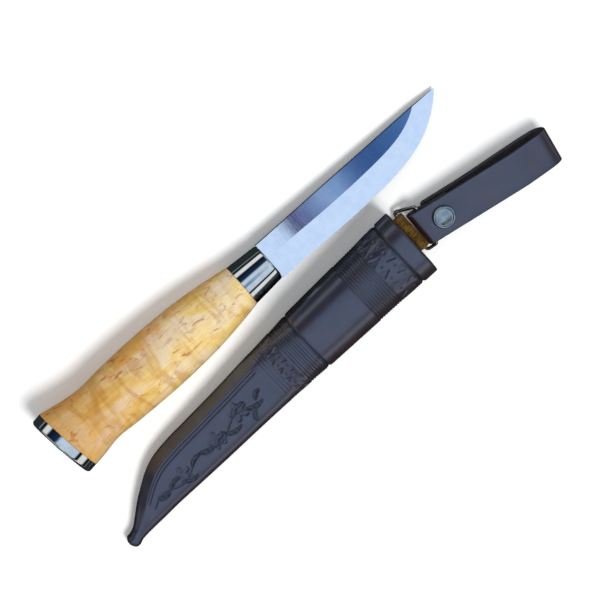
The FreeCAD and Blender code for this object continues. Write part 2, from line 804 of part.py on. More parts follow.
cap_radius = size("stud_cap_radius")
cap_height = size("stud_cap_height")
barrel = size("barrel_radius")
head = size("stud_head_radius")
socket_r = size("socket_radius")
snap_cap = turned("snap_cap", [
    (0, return_low),
    (barrel, return_low),
    (barrel, front_top),
    (cap_radius, front_top),
    (cap_radius, front_top + 0.35 * cap_height),
    (cap_radius - 0.35, front_top + 0.62 * cap_height),
    (cap_radius - 0.9, front_top + 0.74 * cap_height),
    (cap_radius - 1.3, front_top + 0.66 * cap_height),
    (cap_radius * 0.5, front_top + 0.9 * cap_height),
    (0, front_top + cap_height),
])
snap_socket = turned("snap_socket", [
    (0, return_low),
    (0, return_low - 0.4),
    (head + gap, return_low - 0.4),
    (head + gap, socket_low),
    (socket_r - 0.8, socket_low),
    (socket_r, socket_low + 0.8),
    (socket_r, return_low),
])
snap_stud = turned("snap_stud", [
    (0, back_top),
    (post_flange := size("post_head_radius"), back_top),
    (post_flange, flange_top - 0.2),
    (post_flange - 0.3, flange_top),
    (head - 0.35, flange_top),
    (head - 0.35, flange_top + 0.9),
    (head, flange_top + 1.3),
    (head, flange_top + 1.8),
    (head - 0.5, flange_top + 2.1),
    (0, flange_top + 2.1),
])
post_head = size("post_head_height")
snap_post = turned("snap_post", [
    (0, back_top),
    (barrel, back_top),
    (barrel, back_low),
    (post_flange, back_low),
    (post_flange, back_low - post_head + 0.2),
    (post_flange - 0.4, back_low - post_head),
    (0, back_low - post_head),
])

doc.recompute()

# ---------------------------------------------------------------------------
# Resting places. The knife lies on its side and tips forward on the palm
# swell and the bolster's rim. The sheath lies on its back on the knob and
# the barrel. The loop lies on the near end and the far fold.
# ---------------------------------------------------------------------------
KNIFE = [blade, bolster, handle, butt_cap]
SHEATH = [sheath_leather, blade_liner, seam_thread, hanger_tab]
LOOP_FRONT = [belt_strap, snap_cap, snap_socket]
LOOP_BACK = [belt_flap, snap_stud, snap_post]


FINE = 0.02


def mesh_bounds(shape):
    """Bounding box of a shape from its own surface points."""
    bounds = FreeCAD.BoundBox()
    for point in shape.tessellate(FINE)[0]:
        bounds.add(point)
    return bounds


def lowest(pieces, rotation):
    """Lowest Z of pieces once turned."""
    low = 1e9
    for piece in pieces:
        for point in piece.Shape.tessellate(FINE)[0]:
            low = min(low, rotation.multVec(point).z)
    return low


grip_low = (-size("belly_width") / 2, -handle_length * 0.40)
rim_low = (-size("bolster_front_width") / 2 - 0.1, bolster_length - size("bolster_round"))
nose_down = math.degrees(math.atan2(rim_low[0] - grip_low[0], rim_low[1] - grip_low[1]))
knife_turn = turn_y(nose_down)
knife_place = Placement(Vector(0, 0, -lowest(KNIFE, knife_turn)), knife_turn)

barrel_rib = SHEATH_RIBS[BARREL_RIB]
rise = barrel_rib[3] / 2 - knob / 2
mouth_up = math.degrees(math.asin(rise / (barrel_rib[0] * sheath_length / 183.0)))
sheath_turn = turn_z(size("sheath_heading")) * turn_y(-mouth_up)
sheath_place = Placement(
    Vector(size("sheath_back_x"), size("sheath_back_y"), -lowest(SHEATH, sheath_turn)),
    sheath_turn,
)
flat_sheath = Placement(
    Vector(size("sheath_back_x"), size("sheath_back_y"), 0), turn_z(size("sheath_heading")))

loop_lean = turn_x(size("loop_roll"))
near_low = lowest([snap_stud, snap_post], loop_lean)
edge_low = loop_lean.multVec(Vector(0, -strap_width / 2, back_low)).z
near_low = min(near_low, edge_low)
far_low = loop_lean.multVec(Vector(0, -strap_width / 2, fold_floor)).z
loop_up = math.degrees(math.atan2(near_low - far_low, run - snap_x * 0.5))
loop_turn = turn_z(size("loop_heading")) * turn_y(-loop_up) * loop_lean
loop_spot = flat_sheath.multVec(Vector(sheath_length + size("loop_reach"), size("loop_y"), 0))
loop_place = Placement(
    Vector(loop_spot.x, loop_spot.y, 0.05 - lowest(LOOP_FRONT + LOOP_BACK, loop_turn)),
    loop_turn,
)

# Hanger: one bent wire, its straight bar in the tab and its slanted bar in
# the strap, with rounded corners.
half_strap_bar = strap_width / 2 + 2 * wire - 0.2
corners = [
    sheath_place.multVec(Vector(bar_x, tab_centre - size("wire_short_side"), bar_z)),
    sheath_place.multVec(Vector(bar_x, tab_centre + size("wire_long_side"), bar_z)),
    loop_place.multVec(Vector(0, half_strap_bar, 0)),
    loop_place.multVec(Vector(0, -half_strap_bar, 0)),
]


wire_bits = []
bends = []
bend_radius = 1.3
for index, corner in enumerate(corners):
    one = (corners[index - 1] - corner).normalize()
    two = (corners[(index + 1) % 4] - corner).normalize()
    half_angle = one.getAngle(two) / 2
    set_back = bend_radius / math.tan(half_angle)
    axis = two.cross(one).normalize()
    centre = corner + (one + two).normalize() * (bend_radius / math.sin(half_angle))
    start = corner + one * set_back
    disc = Part.Face(Part.Wire(Part.Circle(start, one, wire).toShape()))
    turn = 180 - 2 * math.degrees(half_angle)
    wire_bits.append(disc.revolve(centre, axis, turn))
    bends.append((start, corner + two * set_back))
for index, (start, end) in enumerate(bends):
    following = bends[(index + 1) % 4][0]
    disc = Part.Face(Part.Wire(Part.Circle(end, following - end, wire).toShape()))
    wire_bits.append(disc.extrude(following - end))
hanger_shape = wire_bits[0].multiFuse(wire_bits[1:])
hanger_ring = hold("hanger_ring", hanger_shape)

SUBPARTS = (
    [(piece, knife_place) for piece in KNIFE]
    + [(piece, sheath_place) for piece in SHEATH]
    + [(hanger_ring, Placement())]
    + [(piece, loop_place) for piece in LOOP_FRONT + LOOP_BACK]
)

# ---------------------------------------------------------------------------
# Checks, then the origin at the bottom centre of everything, then export.
# ---------------------------------------------------------------------------
doc.recompute()
for obj in doc.Objects:
    if "Invalid" in obj.State or "Error" in obj.State:
        raise RuntimeError("%s did not build: %s" % (obj.Name, obj.State))

whole = FreeCAD.BoundBox()
for piece, where in SUBPARTS:
    for point in piece.Shape.tessellate(FINE)[0]:
        whole.add(where.multVec(point))
shift = Vector(-whole.Center.x, -whole.Center.y, -whole.ZMin)
for piece, where in SUBPARTS:
    piece.Label = piece.Name
    piece.Placement = Placement(shift, Rotation()).multiply(where)

for piece, where in SUBPARTS:
    shape = piece.Shape
    if shape.isNull() or not shape.isValid() or not shape.Solids:
        raise RuntimeError("%s has no valid solid" % piece.Label)
    shape.exportStep("parts/%s.step" % piece.Label)
    bounds = mesh_bounds(shape)
    print("%-16s %2d solids %9.1f mm3  x %.1f..%.1f  y %.1f..%.1f  z %.1f..%.1f" % (
        piece.Label, len(shape.Solids), shape.Volume, bounds.XMin, bounds.XMax,
        bounds.YMin, bounds.YMax, bounds.ZMin, bounds.ZMax))

# Frames and axes for the joints, in millimetres in the object's frame.
moved = Placement(shift, Rotation())
marks = {
    "knife_origin": moved.multVec(knife_place.multVec(Vector(0, 0, 0))),
    "blade_tip": moved.multVec(knife_place.multVec(
        Vector(bolster_length + blade_length, spine, 0))),
    "tab_axis_a": moved.multVec(corners[0]),
    "tab_axis_b": moved.multVec(corners[1]),
    "strap_axis_b": moved.multVec(corners[2]),
    "strap_axis_a": moved.multVec(corners[3]),
    "fold_axis_a": moved.multVec(loop_place.multVec(Vector(run, -10, hinge_z))),
    "fold_axis_b": moved.multVec(loop_place.multVec(Vector(run, 10, hinge_z))),
    "belt_gap": moved.multVec(loop_place.multVec(Vector(
        (snap_x + socket_r + run) / 2, 0, (front_low + back_top) / 2))),
    "mouth": moved.multVec(sheath_place.multVec(Vector(sheath_length, mouth_centre, 0))),
    "shift": shift,
}
for name, point in marks.items():
    print("%-14s %.4f %.4f %.4f" % (name, point.x, point.y, point.z))
for name, where in (("knife", knife_place), ("sheath", sheath_place), ("loop", loop_place)):
    spot = moved.multiply(where)
    print(name, "base", spot.Base, "quaternion", spot.Rotation.Q)
print("nose_down %.2f mouth_up %.2f loop_up %.2f lean %.2f sheathed_y %.2f" % (
    nose_down, mouth_up, loop_up, lean, sheathed_y))
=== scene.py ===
"""Looks of a whittling knife and its tooled leather belt sheath.

Sizes are in millimetres of the real object. Each sub-assembly is shaped in its
own frame, and its seat turns that into metres where the piece lies.
"""

import logging
import math
from dataclasses import dataclass, field
from enum import Enum
from typing import Dict, List, Optional, Sequence, Tuple, Union

import bmesh
import bpy
import numpy as np
from mathutils import Matrix, Vector


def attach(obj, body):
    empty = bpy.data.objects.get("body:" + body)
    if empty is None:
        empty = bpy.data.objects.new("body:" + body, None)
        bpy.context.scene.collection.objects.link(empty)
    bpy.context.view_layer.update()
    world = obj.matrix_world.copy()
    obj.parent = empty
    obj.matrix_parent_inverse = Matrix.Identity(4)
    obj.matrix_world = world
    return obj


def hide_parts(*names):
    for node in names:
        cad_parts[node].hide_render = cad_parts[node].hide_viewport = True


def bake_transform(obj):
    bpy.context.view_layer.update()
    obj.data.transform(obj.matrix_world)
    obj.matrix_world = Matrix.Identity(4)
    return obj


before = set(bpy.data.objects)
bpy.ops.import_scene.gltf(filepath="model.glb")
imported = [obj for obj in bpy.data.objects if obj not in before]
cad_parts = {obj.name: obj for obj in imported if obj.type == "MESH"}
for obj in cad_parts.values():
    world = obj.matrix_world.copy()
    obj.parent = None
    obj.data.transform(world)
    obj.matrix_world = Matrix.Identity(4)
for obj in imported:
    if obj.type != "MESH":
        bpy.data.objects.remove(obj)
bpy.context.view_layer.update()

LOG = logging.getLogger("whittling_knife")
MM = 0.001
# Half waves of the stem in the leather's ornament.
WAVES = 5.5
SHARP_ANGLE = math.radians(38)
Point = Tuple[float, float, float]
Plug = Union[float, Sequence[float], bpy.types.NodeSocket, bpy.types.Node]
# Settings of a mix of two colours: it takes them at 6 and 7 and gives the result at 2.
COLOUR_MIX = {"data_type": "RGBA", "clamp_result": True}


class Body(Enum):
    """The moving bodies of the object."""

    KNIFE = "knife"
    SHEATH = "sheath"
    HANGER = "hanger"
    LOOP = "belt_loop"
    FLAP = "loop_flap"


@dataclass(frozen=True)
class Seat:
    """Where a sub-assembly lies: its own origin and its turn.

    The turn is a heading about Z, then a pitch about Y, then a roll about X.
    """

    origin: Point
    heading: float = 0.0
    pitch: float = 0.0
    roll: float = 0.0

    def matrix(self) -> Matrix:
        """Matrix from the sub-assembly's millimetres to the object's metres."""
        turn = (
            Matrix.Rotation(math.radians(self.heading), 4, "Z")
            @ Matrix.Rotation(math.radians(self.pitch), 4, "Y")
            @ Matrix.Rotation(math.radians(self.roll), 4, "X")
        )
        return Matrix.Translation(Vector(self.origin) * MM) @ turn @ Matrix.Scale(MM, 4)


KNIFE_SEAT = Seat((-16.7341, 20.7108, 9.7688), pitch=3.4016)
SHEATH_SEAT = Seat((-129.4341, -35.4892, 3.7762), heading=2.2, pitch=-4.058)
LOOP_SEAT = Seat((62.3558, -13.3105, 8.1075), heading=-9.0, pitch=-3.463, roll=11.0)


# ---------------------------------------------------------------------------
# Shapes
# ---------------------------------------------------------------------------
def smooth_rows(table: Sequence[Sequence[float]], places: np.ndarray) -> np.ndarray:
    """Values that run smoothly through a table of stations.

    Args:
        table: rows of a place and its values, in order of place.
        places: where the values are wanted.

    Returns:
        One row of values for each place.
    """
    rows = np.array(table, float)
    knots, values = rows[:, 0], rows[:, 1:]
    slopes = np.gradient(values, knots, axis=0)
    low = np.clip(np.searchsorted(knots, places) - 1, 0, len(knots) - 2)
    span = (knots[low + 1] - knots[low])[:, None]
    t = (np.clip(places, knots[0], knots[-1]) - knots[low])[:, None] / span
    return (
        (2 * t**3 - 3 * t**2 + 1) * values[low]
        + (t**3 - 2 * t**2 + t) * span * slopes[low]
        + (3 * t**2 - 2 * t**3) * values[low + 1]
        + (t**3 - t**2) * span * slopes[low + 1]
    )


def ease(low: float, high: float, value: np.ndarray) -> np.ndarray:
    """Smooth step from 0 at low to 1 at high."""
    share = np.clip((value - low) / (high - low), 0.0, 1.0)
    return share * share * (3 - 2 * share)


def oval(half_a: float, half_b: float, square: float, front: int, back: int) -> np.ndarray:
    """A rounded section, its points evenly spaced along each half.

    Args:
        half_a: half its size along the first axis.
        half_b: half its size along the second axis.
        square: 2 for an ellipse, more for a squarer section.
        front: points on the half where the second axis is positive.
        back: points on the other half.

    Returns:
        The points, as pairs.
    """
    angles = np.linspace(0, 2 * math.pi, 2001)
    cosine, sine = np.cos(angles), np.sin(angles)
    a = half_a * np.sign(cosine) * np.abs(cosine) ** (2 / square)
    b = half_b * np.sign(sine) * np.abs(sine) ** (2 / square)
    along = np.concatenate([[0], np.cumsum(np.hypot(np.diff(a), np.diff(b)))])
    middle, whole = along[1000], along[-1]
    marks = np.concatenate(
        [
            np.linspace(0, middle, front, endpoint=False),
            np.linspace(middle, whole, back, endpoint=False),
        ]
    )
    return np.column_stack([np.interp(marks, along, a), np.interp(marks, along, b)])


def rounded_bar(half_width: float, half_depth: float, edge: float) -> np.ndarray:
    """Section of a strip of leather with rounded edges.

    Args:
        half_width: half the strip's width.
        half_depth: half its thickness.
        edge: how round its four edges are.

    Returns:
        The points, as pairs of across and up.
    """
    turns = []
    for corner, (side, level) in enumerate([(1, 1), (-1, 1), (-1, -1), (1, -1)]):
        for step in range(6):
            angle = math.radians(90 * corner + 18 * step)
            turns.append(
                (
                    side * (half_width - edge) + edge * math.cos(angle),
                    level * (half_depth - edge) + edge * math.sin(angle),
                )
            )
        if corner in (0, 2):
            run = np.linspace(half_width - edge, edge - half_width, 12)[1:-1]
            turns.extend((level * across, level * half_depth) for across in run)
    return np.array(turns)


def loft(rings: np.ndarray) -> bmesh.types.BMesh:
    """A closed skin over a row of rings with equal counts.

    Args:
        rings: an array of rings, points and coordinates.

    Returns:
        The new mesh, with its vertices in the order of the rings.
    """
    mesh = bmesh.new()
    previous: List[bmesh.types.BMEdge] = []
    first: List[bmesh.types.BMEdge] = []
    for ring in rings:
        made = bmesh.ops.create_circle(mesh, cap_ends=False, segments=len(ring), radius=1.0)
        for vertex, spot in zip(made["verts"], ring):
            vertex.co = spot
        edges = list({edge for vertex in made["verts"] for edge in vertex.link_edges})
        if previous:
            bmesh.ops.bridge_loops(mesh, edges=previous + edges)
        else:
            first = edges
        previous = edges
    bmesh.ops.edgeloop_fill(mesh, edges=first)
    bmesh.ops.edgeloop_fill(mesh, edges=previous)
    bmesh.ops.recalc_face_normals(mesh, faces=mesh.faces)
    return mesh


def lathe(profile: Sequence[Tuple[float, float]], centre_x: float, steps: int) -> bmesh.types.BMesh:
    """A body turned about an upright axis.

    Args:
        profile: pairs of radius and level, from one end of the axis to the other.
        centre_x: where the axis stands along X.
        steps: how many facets go round.

    Returns:
        The new mesh.
    """
    mesh = bmesh.new()
    spots = [mesh.verts.new((centre_x + radius, 0, level)) for radius, level in profile]
    edges = [mesh.edges.new(pair) for pair in zip(spots, spots[1:])]
    bmesh.ops.spin(
        mesh,
        geom=spots + edges,
        cent=(centre_x, 0, 0),
        axis=(0, 0, 1),
        angle=2 * math.pi,
        steps=steps,
        use_merge=True,
        use_duplicate=False,
    )
    bmesh.ops.remove_doubles(mesh, verts=mesh.verts, dist=0.001)
    bmesh.ops.recalc_face_normals(mesh, faces=mesh.faces)
    return mesh


@dataclass
class Piece:
    """One new visible piece and what it stands for."""

    name: str
    mesh: bmesh.types.BMesh
    seat: Seat
    finish: bpy.types.Material
    slot: str
    replaces: Tuple[str, ...]
    body: Optional[Body] = None
    layers: Dict[str, np.ndarray] = field(default_factory=dict)

    def place(self) -> bpy.types.Object:
        """Put the piece in the scene.

        Returns:
            The object, which sits at the origin with its place in its mesh.
        """
        bmesh.ops.transform(self.mesh, matrix=self.seat.matrix(), verts=self.mesh.verts)
        data = bpy.data.meshes.new(self.name)
        self.mesh.to_mesh(data)
        self.mesh.free()
        for layer, values in self.layers.items():
            attribute = data.attributes.new(layer, "FLOAT", "POINT")
            attribute.data.foreach_set("value", values.astype(np.float32).ravel())
        data.shade_smooth()
        data.set_sharp_from_angle(angle=SHARP_ANGLE)
        data.materials.append(self.finish)
        made = bpy.data.objects.new(self.name, data)
        bpy.context.collection.objects.link(made)
        if self.body is not None:
            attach(made, self.body.value)
        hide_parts(*self.replaces)
        LOG.info("%s: %d faces", self.name, len(data.polygons))
        return made


def dress(node: str, finish: bpy.types.Material) -> None:
    """Give a finish to a part whose shape stays as it is."""
    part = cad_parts[node]
    for slot in part.material_slots:
        slot.material = finish
    LOG.info("%s: dressed in %s", node, finish.name)


# ---------------------------------------------------------------------------
# Finishes
# ---------------------------------------------------------------------------
def paint(code: str, alpha: float = 1.0) -> Tuple[float, float, float, float]:
    """Linear colour of an sRGB hex value.

    Args:
        code: the colour as a hash and six digits.
        alpha: how opaque it is.

    Returns:
        Red, green, blue and alpha.
    """
    parts = [int(code[i:i + 2], 16) / 255 for i in (1, 3, 5)]
    linear = [p / 12.92 if p <= 0.04045 else ((p + 0.055) / 1.055) ** 2.4 for p in parts]
    return (linear[0], linear[1], linear[2], alpha)


def add(
    tree: bpy.types.NodeTree,
    kind: str,
    plugs: Optional[Dict[Union[str, int], Plug]] = None,
    stops: Sequence[Tuple[float, Sequence[float]]] = (),
    **settings: object,
) -> bpy.types.Node:
    """Add one node with its settings, its values and its links.

    Args:
        tree: the node tree that it goes in.
        kind: the node's type.
        plugs: for each input, a plain value, or the output that feeds it, or
            a node whose first output does.
        stops: a ramp's places and colours.
        settings: the node's own properties.

    Returns:
        The new node.
    """
    node = tree.nodes.new(kind)
    for name, value in settings.items():
        setattr(node, name, value)
    for name, value in (plugs or {}).items():
        if isinstance(value, bpy.types.Node):
            value = value.outputs[0]
        if isinstance(value, bpy.types.NodeSocket):
            tree.links.new(value, node.inputs[name])
        else:
            node.inputs[name].default_value = value
    if stops:
        ramp = node.color_ramp.elements
        while len(ramp) > 1:
            ramp.remove(ramp[-1])
        ramp[0].position, ramp[0].color = stops[0]
        for place, colour in stops[1:]:
            ramp.new(place).color = colour
    return node


def grey(level: float) -> Tuple[float, float, float, float]:
    """A neutral ramp colour of one level."""
    return (level, level, level, 1.0)


def millimetres(tree: bpy.types.NodeTree, size: Point, turn: Point = (0, 0, 0)) -> bpy.types.Node:
    """Object coordinates over a size in millimetres along each axis.

    Args:
        tree: the material's node tree.
        size: the length that becomes one unit, along each axis.
        turn: how far the pattern turns about each axis, in degrees.

    Returns:
        The node that gives the scaled coordinates.
    """
    coordinates = add(tree, "ShaderNodeTexCoord").outputs["Object"]
    return add(
        tree, "ShaderNodeMapping",
        {
            "Vector": coordinates,
            "Rotation": tuple(math.radians(angle) for angle in turn),
            "Scale": tuple(1 / (MM * length) for length in size),
        },
        vector_type="POINT",
    )


@dataclass(frozen=True)
class Finish:
    """A material under construction: its name, its tree and its shader."""

    name: str

    def start(self) -> Tuple[bpy.types.Material, bpy.types.NodeTree, bpy.types.Node]:
        """A new material with its shader wired to its output."""
        material = bpy.data.materials.new(self.name)
        material.use_nodes = True
        tree = material.node_tree
        tree.nodes.clear()
        shader = add(tree, "ShaderNodeBsdfPrincipled")
        add(tree, "ShaderNodeOutputMaterial", {"Surface": shader})
        return material, tree, shader

    @staticmethod
    def wire(tree: bpy.types.NodeTree, shader: bpy.types.Node, feeds: Dict[str, bpy.types.Node]) -> None:
        """Feed the shader's sockets, each from a node's first output."""
        for socket, node in feeds.items():
            tree.links.new(node.outputs[0], shader.inputs[socket])


@dataclass(frozen=True)
class CurlyBirch(Finish):
    """Curly birch, turned and sanded, under several coats of clear lacquer.

    The figure gives the eye soft bright and dull bars across the grain, with
    orange-brown flecks where the bark pockets were.
    """

    name: str = "curly_birch_lacquered"

    def build(self) -> bpy.types.Material:
        """The finished material."""
        material, tree, shader = self.start()
        # Yellow heartwood and pinkish clouds, a centimetre or two across.
        clouds = add(tree, "ShaderNodeTexNoise", {
            "Vector": millimetres(tree, (17, 8, 9)), "Scale": 1.0,
            "Detail": 3.0, "Roughness": 0.55, "Distortion": 0.5,
        })
        ground = add(tree, "ShaderNodeValToRGB", {"Fac": clouds}, [
            (0.34, paint("#EFCB70")), (0.46, paint("#F8DD98")),
            (0.56, paint("#F4DFB4")), (0.68, paint("#F5E1C8")),
        ]).outputs["Color"]
        # Curl: soft bars 5 to 8 mm apart, square to the grain.
        curl = add(tree, "ShaderNodeTexNoise", {
            "Vector": millimetres(tree, (5.5, 20, 20), (0, 0, 9)), "Scale": 1.0,
            "Detail": 3.0, "Distortion": 0.9,
        })
        bars = add(tree, "ShaderNodeValToRGB", {"Fac": curl}, [
            (0.36, paint("#E4CDA8")), (0.50, paint("#FBF6EC")), (0.62, paint("#FFFFFF")),
        ])
        ground = add(
            tree, "ShaderNodeMix", {0: 0.8, 6: ground, 7: bars}, blend_type="MULTIPLY", **COLOUR_MIX,
        ).outputs[2]
        # Fine grain lines that run along the handle.
        grain = add(tree, "ShaderNodeTexNoise", {
            "Vector": millimetres(tree, (24, 0.9, 0.9)), "Scale": 1.0,
            "Detail": 4.0, "Roughness": 0.6, "Distortion": 0.2,
        })
        lines = add(tree, "ShaderNodeValToRGB", {"Fac": grain}, [
            (0.35, paint("#DDBA88")), (0.55, paint("#FFFFFF")),
        ])
        ground = add(
            tree, "ShaderNodeMix", {0: 0.30, 6: ground, 7: lines}, blend_type="MULTIPLY", **COLOUR_MIX,
        ).outputs[2]
        # The wood darkens towards the butt and along the back of the handle.
        way = add(tree, "ShaderNodeSeparateXYZ", {0: millimetres(tree, (1, 1, 1))}).outputs
        butt = add(tree, "ShaderNodeMapRange", {
            "Value": way["X"], "From Min": -118.0, "From Max": -50.0, "To Min": 1.0, "To Max": 0.0,
        })
        butt_share = add(tree, "ShaderNodeMath", {0: butt, 1: 0.85}, operation="MULTIPLY")
        ground = add(
            tree, "ShaderNodeMix", {0: butt_share, 6: ground, 7: paint("#DEBC8C")},
            blend_type="MULTIPLY", **COLOUR_MIX,
        ).outputs[2]
        ripple = add(tree, "ShaderNodeTexNoise", {
            "Vector": millimetres(tree, (16, 5, 9)), "Scale": 1.0,
            "Detail": 4.0, "Roughness": 0.6, "Distortion": 0.6,
        })
        wander = add(tree, "ShaderNodeMath", {0: ripple, 1: 17.0}, operation="MULTIPLY")
        back = add(tree, "ShaderNodeMath", {0: way["Y"], 1: wander}, operation="ADD")
        back_share = add(tree, "ShaderNodeMath", {0: back, 1: 0.02}, operation="MULTIPLY")
        streak = add(tree, "ShaderNodeValToRGB", {"Fac": back_share}, [(0.775, grey(0.0)), (0.84, grey(1.0))])
        streak_share = add(tree, "ShaderNodeMath", {0: streak, 1: 0.7}, operation="MULTIPLY")
        ground = add(
            tree, "ShaderNodeMix", {0: streak_share, 6: ground, 7: paint("#DE9A3C")}, **COLOUR_MIX,
        ).outputs[2]
        # Flecks 3 to 7 mm long, thick on the back of the handle and in scattered patches.
        fleck = add(tree, "ShaderNodeTexNoise", {
            "Vector": millimetres(tree, (7.5, 2.6, 3.6), (0, 0, -14)), "Scale": 1.0,
            "Detail": 3.0, "Roughness": 0.55, "Distortion": 1.2,
        })
        speck = add(tree, "ShaderNodeValToRGB", {"Fac": fleck}, [(0.57, grey(0.0)), (0.69, grey(1.0))])
        spread = add(tree, "ShaderNodeTexNoise", {
            "Vector": millimetres(tree, (24, 9, 9)), "Scale": 1.0, "Detail": 1.0,
        })
        where = add(tree, "ShaderNodeValToRGB", {"Fac": spread}, [(0.44, grey(0.04)), (0.62, grey(1.0))])
        where = add(
            tree, "ShaderNodeMix", {0: streak, 6: where, 7: grey(1.0)}, **COLOUR_MIX,
        ).outputs[2]
        amount = add(
            tree, "ShaderNodeMix", {0: 1.0, 6: speck, 7: where}, blend_type="MULTIPLY", **COLOUR_MIX,
        ).outputs[2]
        ground = add(
            tree, "ShaderNodeMix", {0: amount, 6: ground, 7: paint("#B9691F")}, **COLOUR_MIX,
        ).outputs[2]
        tree.links.new(ground, shader.inputs["Base Color"])
        wear = add(tree, "ShaderNodeTexNoise", {
            "Vector": millimetres(tree, (5, 5, 5)), "Scale": 1.0, "Detail": 3.0,
        })
        rough = add(tree, "ShaderNodeMapRange", {
            "Value": wear, "From Min": 0.3, "From Max": 0.7, "To Min": 0.30, "To Max": 0.42,
        })
        bump = add(tree, "ShaderNodeBump", {"Height": grain, "Strength": 0.12, "Distance": 0.1 * MM})
        self.wire(tree, shader, {"Roughness": rough, "Normal": bump})
        shader.inputs["IOR"].default_value = 1.5
        shader.inputs["Coat Weight"].default_value = 0.35
        shader.inputs["Coat Roughness"].default_value = 0.14
        return material


@dataclass(frozen=True)
class PolishedMetal(Finish):
    """A polished metal with the faint lines that its polishing left."""

    name: str
    colour: str
    shade: str
    rough: float
    line: Point

    def build(self) -> bpy.types.Material:
        """The finished material."""
        material, tree, shader = self.start()
        haze = add(tree, "ShaderNodeTexNoise", {
            "Vector": millimetres(tree, (4, 4, 4)), "Scale": 1.0, "Detail": 3.0,
        })
        tint = add(tree, "ShaderNodeValToRGB", {"Fac": haze}, [
            (0.35, paint(self.shade)), (0.65, paint(self.colour)),
        ])
        shader.inputs["Metallic"].default_value = 1.0
        lines = add(tree, "ShaderNodeTexNoise", {
            "Vector": millimetres(tree, self.line), "Scale": 1.0, "Detail": 3.0, "Roughness": 0.65,
        })
        rough = add(tree, "ShaderNodeMapRange", {
            "Value": lines, "From Min": 0.3, "From Max": 0.7,
            "To Min": self.rough * 0.7, "To Max": self.rough * 1.5,
        })
        bump = add(tree, "ShaderNodeBump", {"Height": lines, "Strength": 0.02, "Distance": 0.01 * MM})
        self.wire(tree, shader, {"Base Color": tint, "Roughness": rough, "Normal": bump})
        return material


@dataclass(frozen=True)
class TooledLeather(Finish):
    """Vegetable-tanned cowhide, wet-moulded, stamped, dyed dark and waxed.

    The waxed grain side shines softly, and the stamped hollows hold the dye.
    The flesh side is matt and fibrous.
    """

    name: str = "dark_waxed_leather"

    def build(self) -> bpy.types.Material:
        """The finished material."""
        material, tree, shader = self.start()
        tooling = add(tree, "ShaderNodeAttribute", attribute_name="tooling").outputs["Fac"]
        flesh = add(tree, "ShaderNodeAttribute", attribute_name="flesh").outputs["Fac"]
        dye = add(tree, "ShaderNodeTexNoise", {
            "Vector": millimetres(tree, (14, 14, 14)), "Scale": 1.0, "Detail": 4.0, "Roughness": 0.55,
        })
        ground = add(tree, "ShaderNodeValToRGB", {"Fac": dye}, [
            (0.34, paint("#26150F")), (0.66, paint("#331E19")),
        ])
        hollow = add(tree, "ShaderNodeValToRGB", {"Fac": tooling}, [(0.05, grey(0.0)), (0.7, grey(1.0))])
        ground = add(
            tree, "ShaderNodeMix", {0: hollow, 6: ground, 7: paint("#070405")}, **COLOUR_MIX,
        ).outputs[2]
        fibre = add(tree, "ShaderNodeTexNoise", {
            "Vector": millimetres(tree, (1.6, 0.5, 0.5)), "Scale": 1.0,
            "Detail": 4.0, "Roughness": 0.65, "Distortion": 0.6,
        })
        raw = add(tree, "ShaderNodeValToRGB", {"Fac": fibre}, [
            (0.35, paint("#2A1C0E")), (0.65, paint("#5A4221")),
        ])
        ground = add(tree, "ShaderNodeMix", {0: flesh, 6: ground, 7: raw}, **COLOUR_MIX).outputs[2]
        tree.links.new(ground, shader.inputs["Base Color"])
        wax = add(tree, "ShaderNodeTexNoise", {
            "Vector": millimetres(tree, (5, 5, 5)), "Scale": 1.0, "Detail": 3.0,
        })
        shine = add(tree, "ShaderNodeMapRange", {
            "Value": wax, "From Min": 0.3, "From Max": 0.7, "To Min": 0.36, "To Max": 0.48,
        })
        flesh_dull = add(tree, "ShaderNodeMath", {0: flesh, 1: 0.35}, operation="MULTIPLY")
        hollow_dull = add(tree, "ShaderNodeMath", {0: hollow, 1: 0.15}, operation="MULTIPLY")
        dull = add(tree, "ShaderNodeMath", {0: flesh_dull, 1: hollow_dull}, operation="ADD")
        rough = add(tree, "ShaderNodeMath", {0: shine, 1: dull}, operation="ADD")
        # Hide grain: pores about 0.6 mm apart, drawn a little coarser to show.
        pores = add(
            tree, "ShaderNodeTexVoronoi",
            {"Vector": millimetres(tree, (0.8, 0.8, 0.8)), "Scale": 1.0, "Randomness": 1.0},
            feature="F1",
        ).outputs["Distance"]
        height = add(tree, "ShaderNodeMix", {0: flesh, 6: pores, 7: fibre}, **COLOUR_MIX).outputs[2]
        bump = add(tree, "ShaderNodeBump", {"Height": height, "Strength": 0.35, "Distance": 0.06 * MM})
        self.wire(tree, shader, {"Roughness": rough, "Normal": bump})
        # The wax blooms a little blue where the light grazes off it.
        shader.inputs["IOR"].default_value = 1.98
        shader.inputs["Specular Tint"].default_value = (0.36, 0.62, 1.0, 1.0)
        shader.inputs["Coat Weight"].default_value = 1.0
        shader.inputs["Coat Roughness"].default_value = 0.24
        shader.inputs["Coat IOR"].default_value = 1.6
        return material


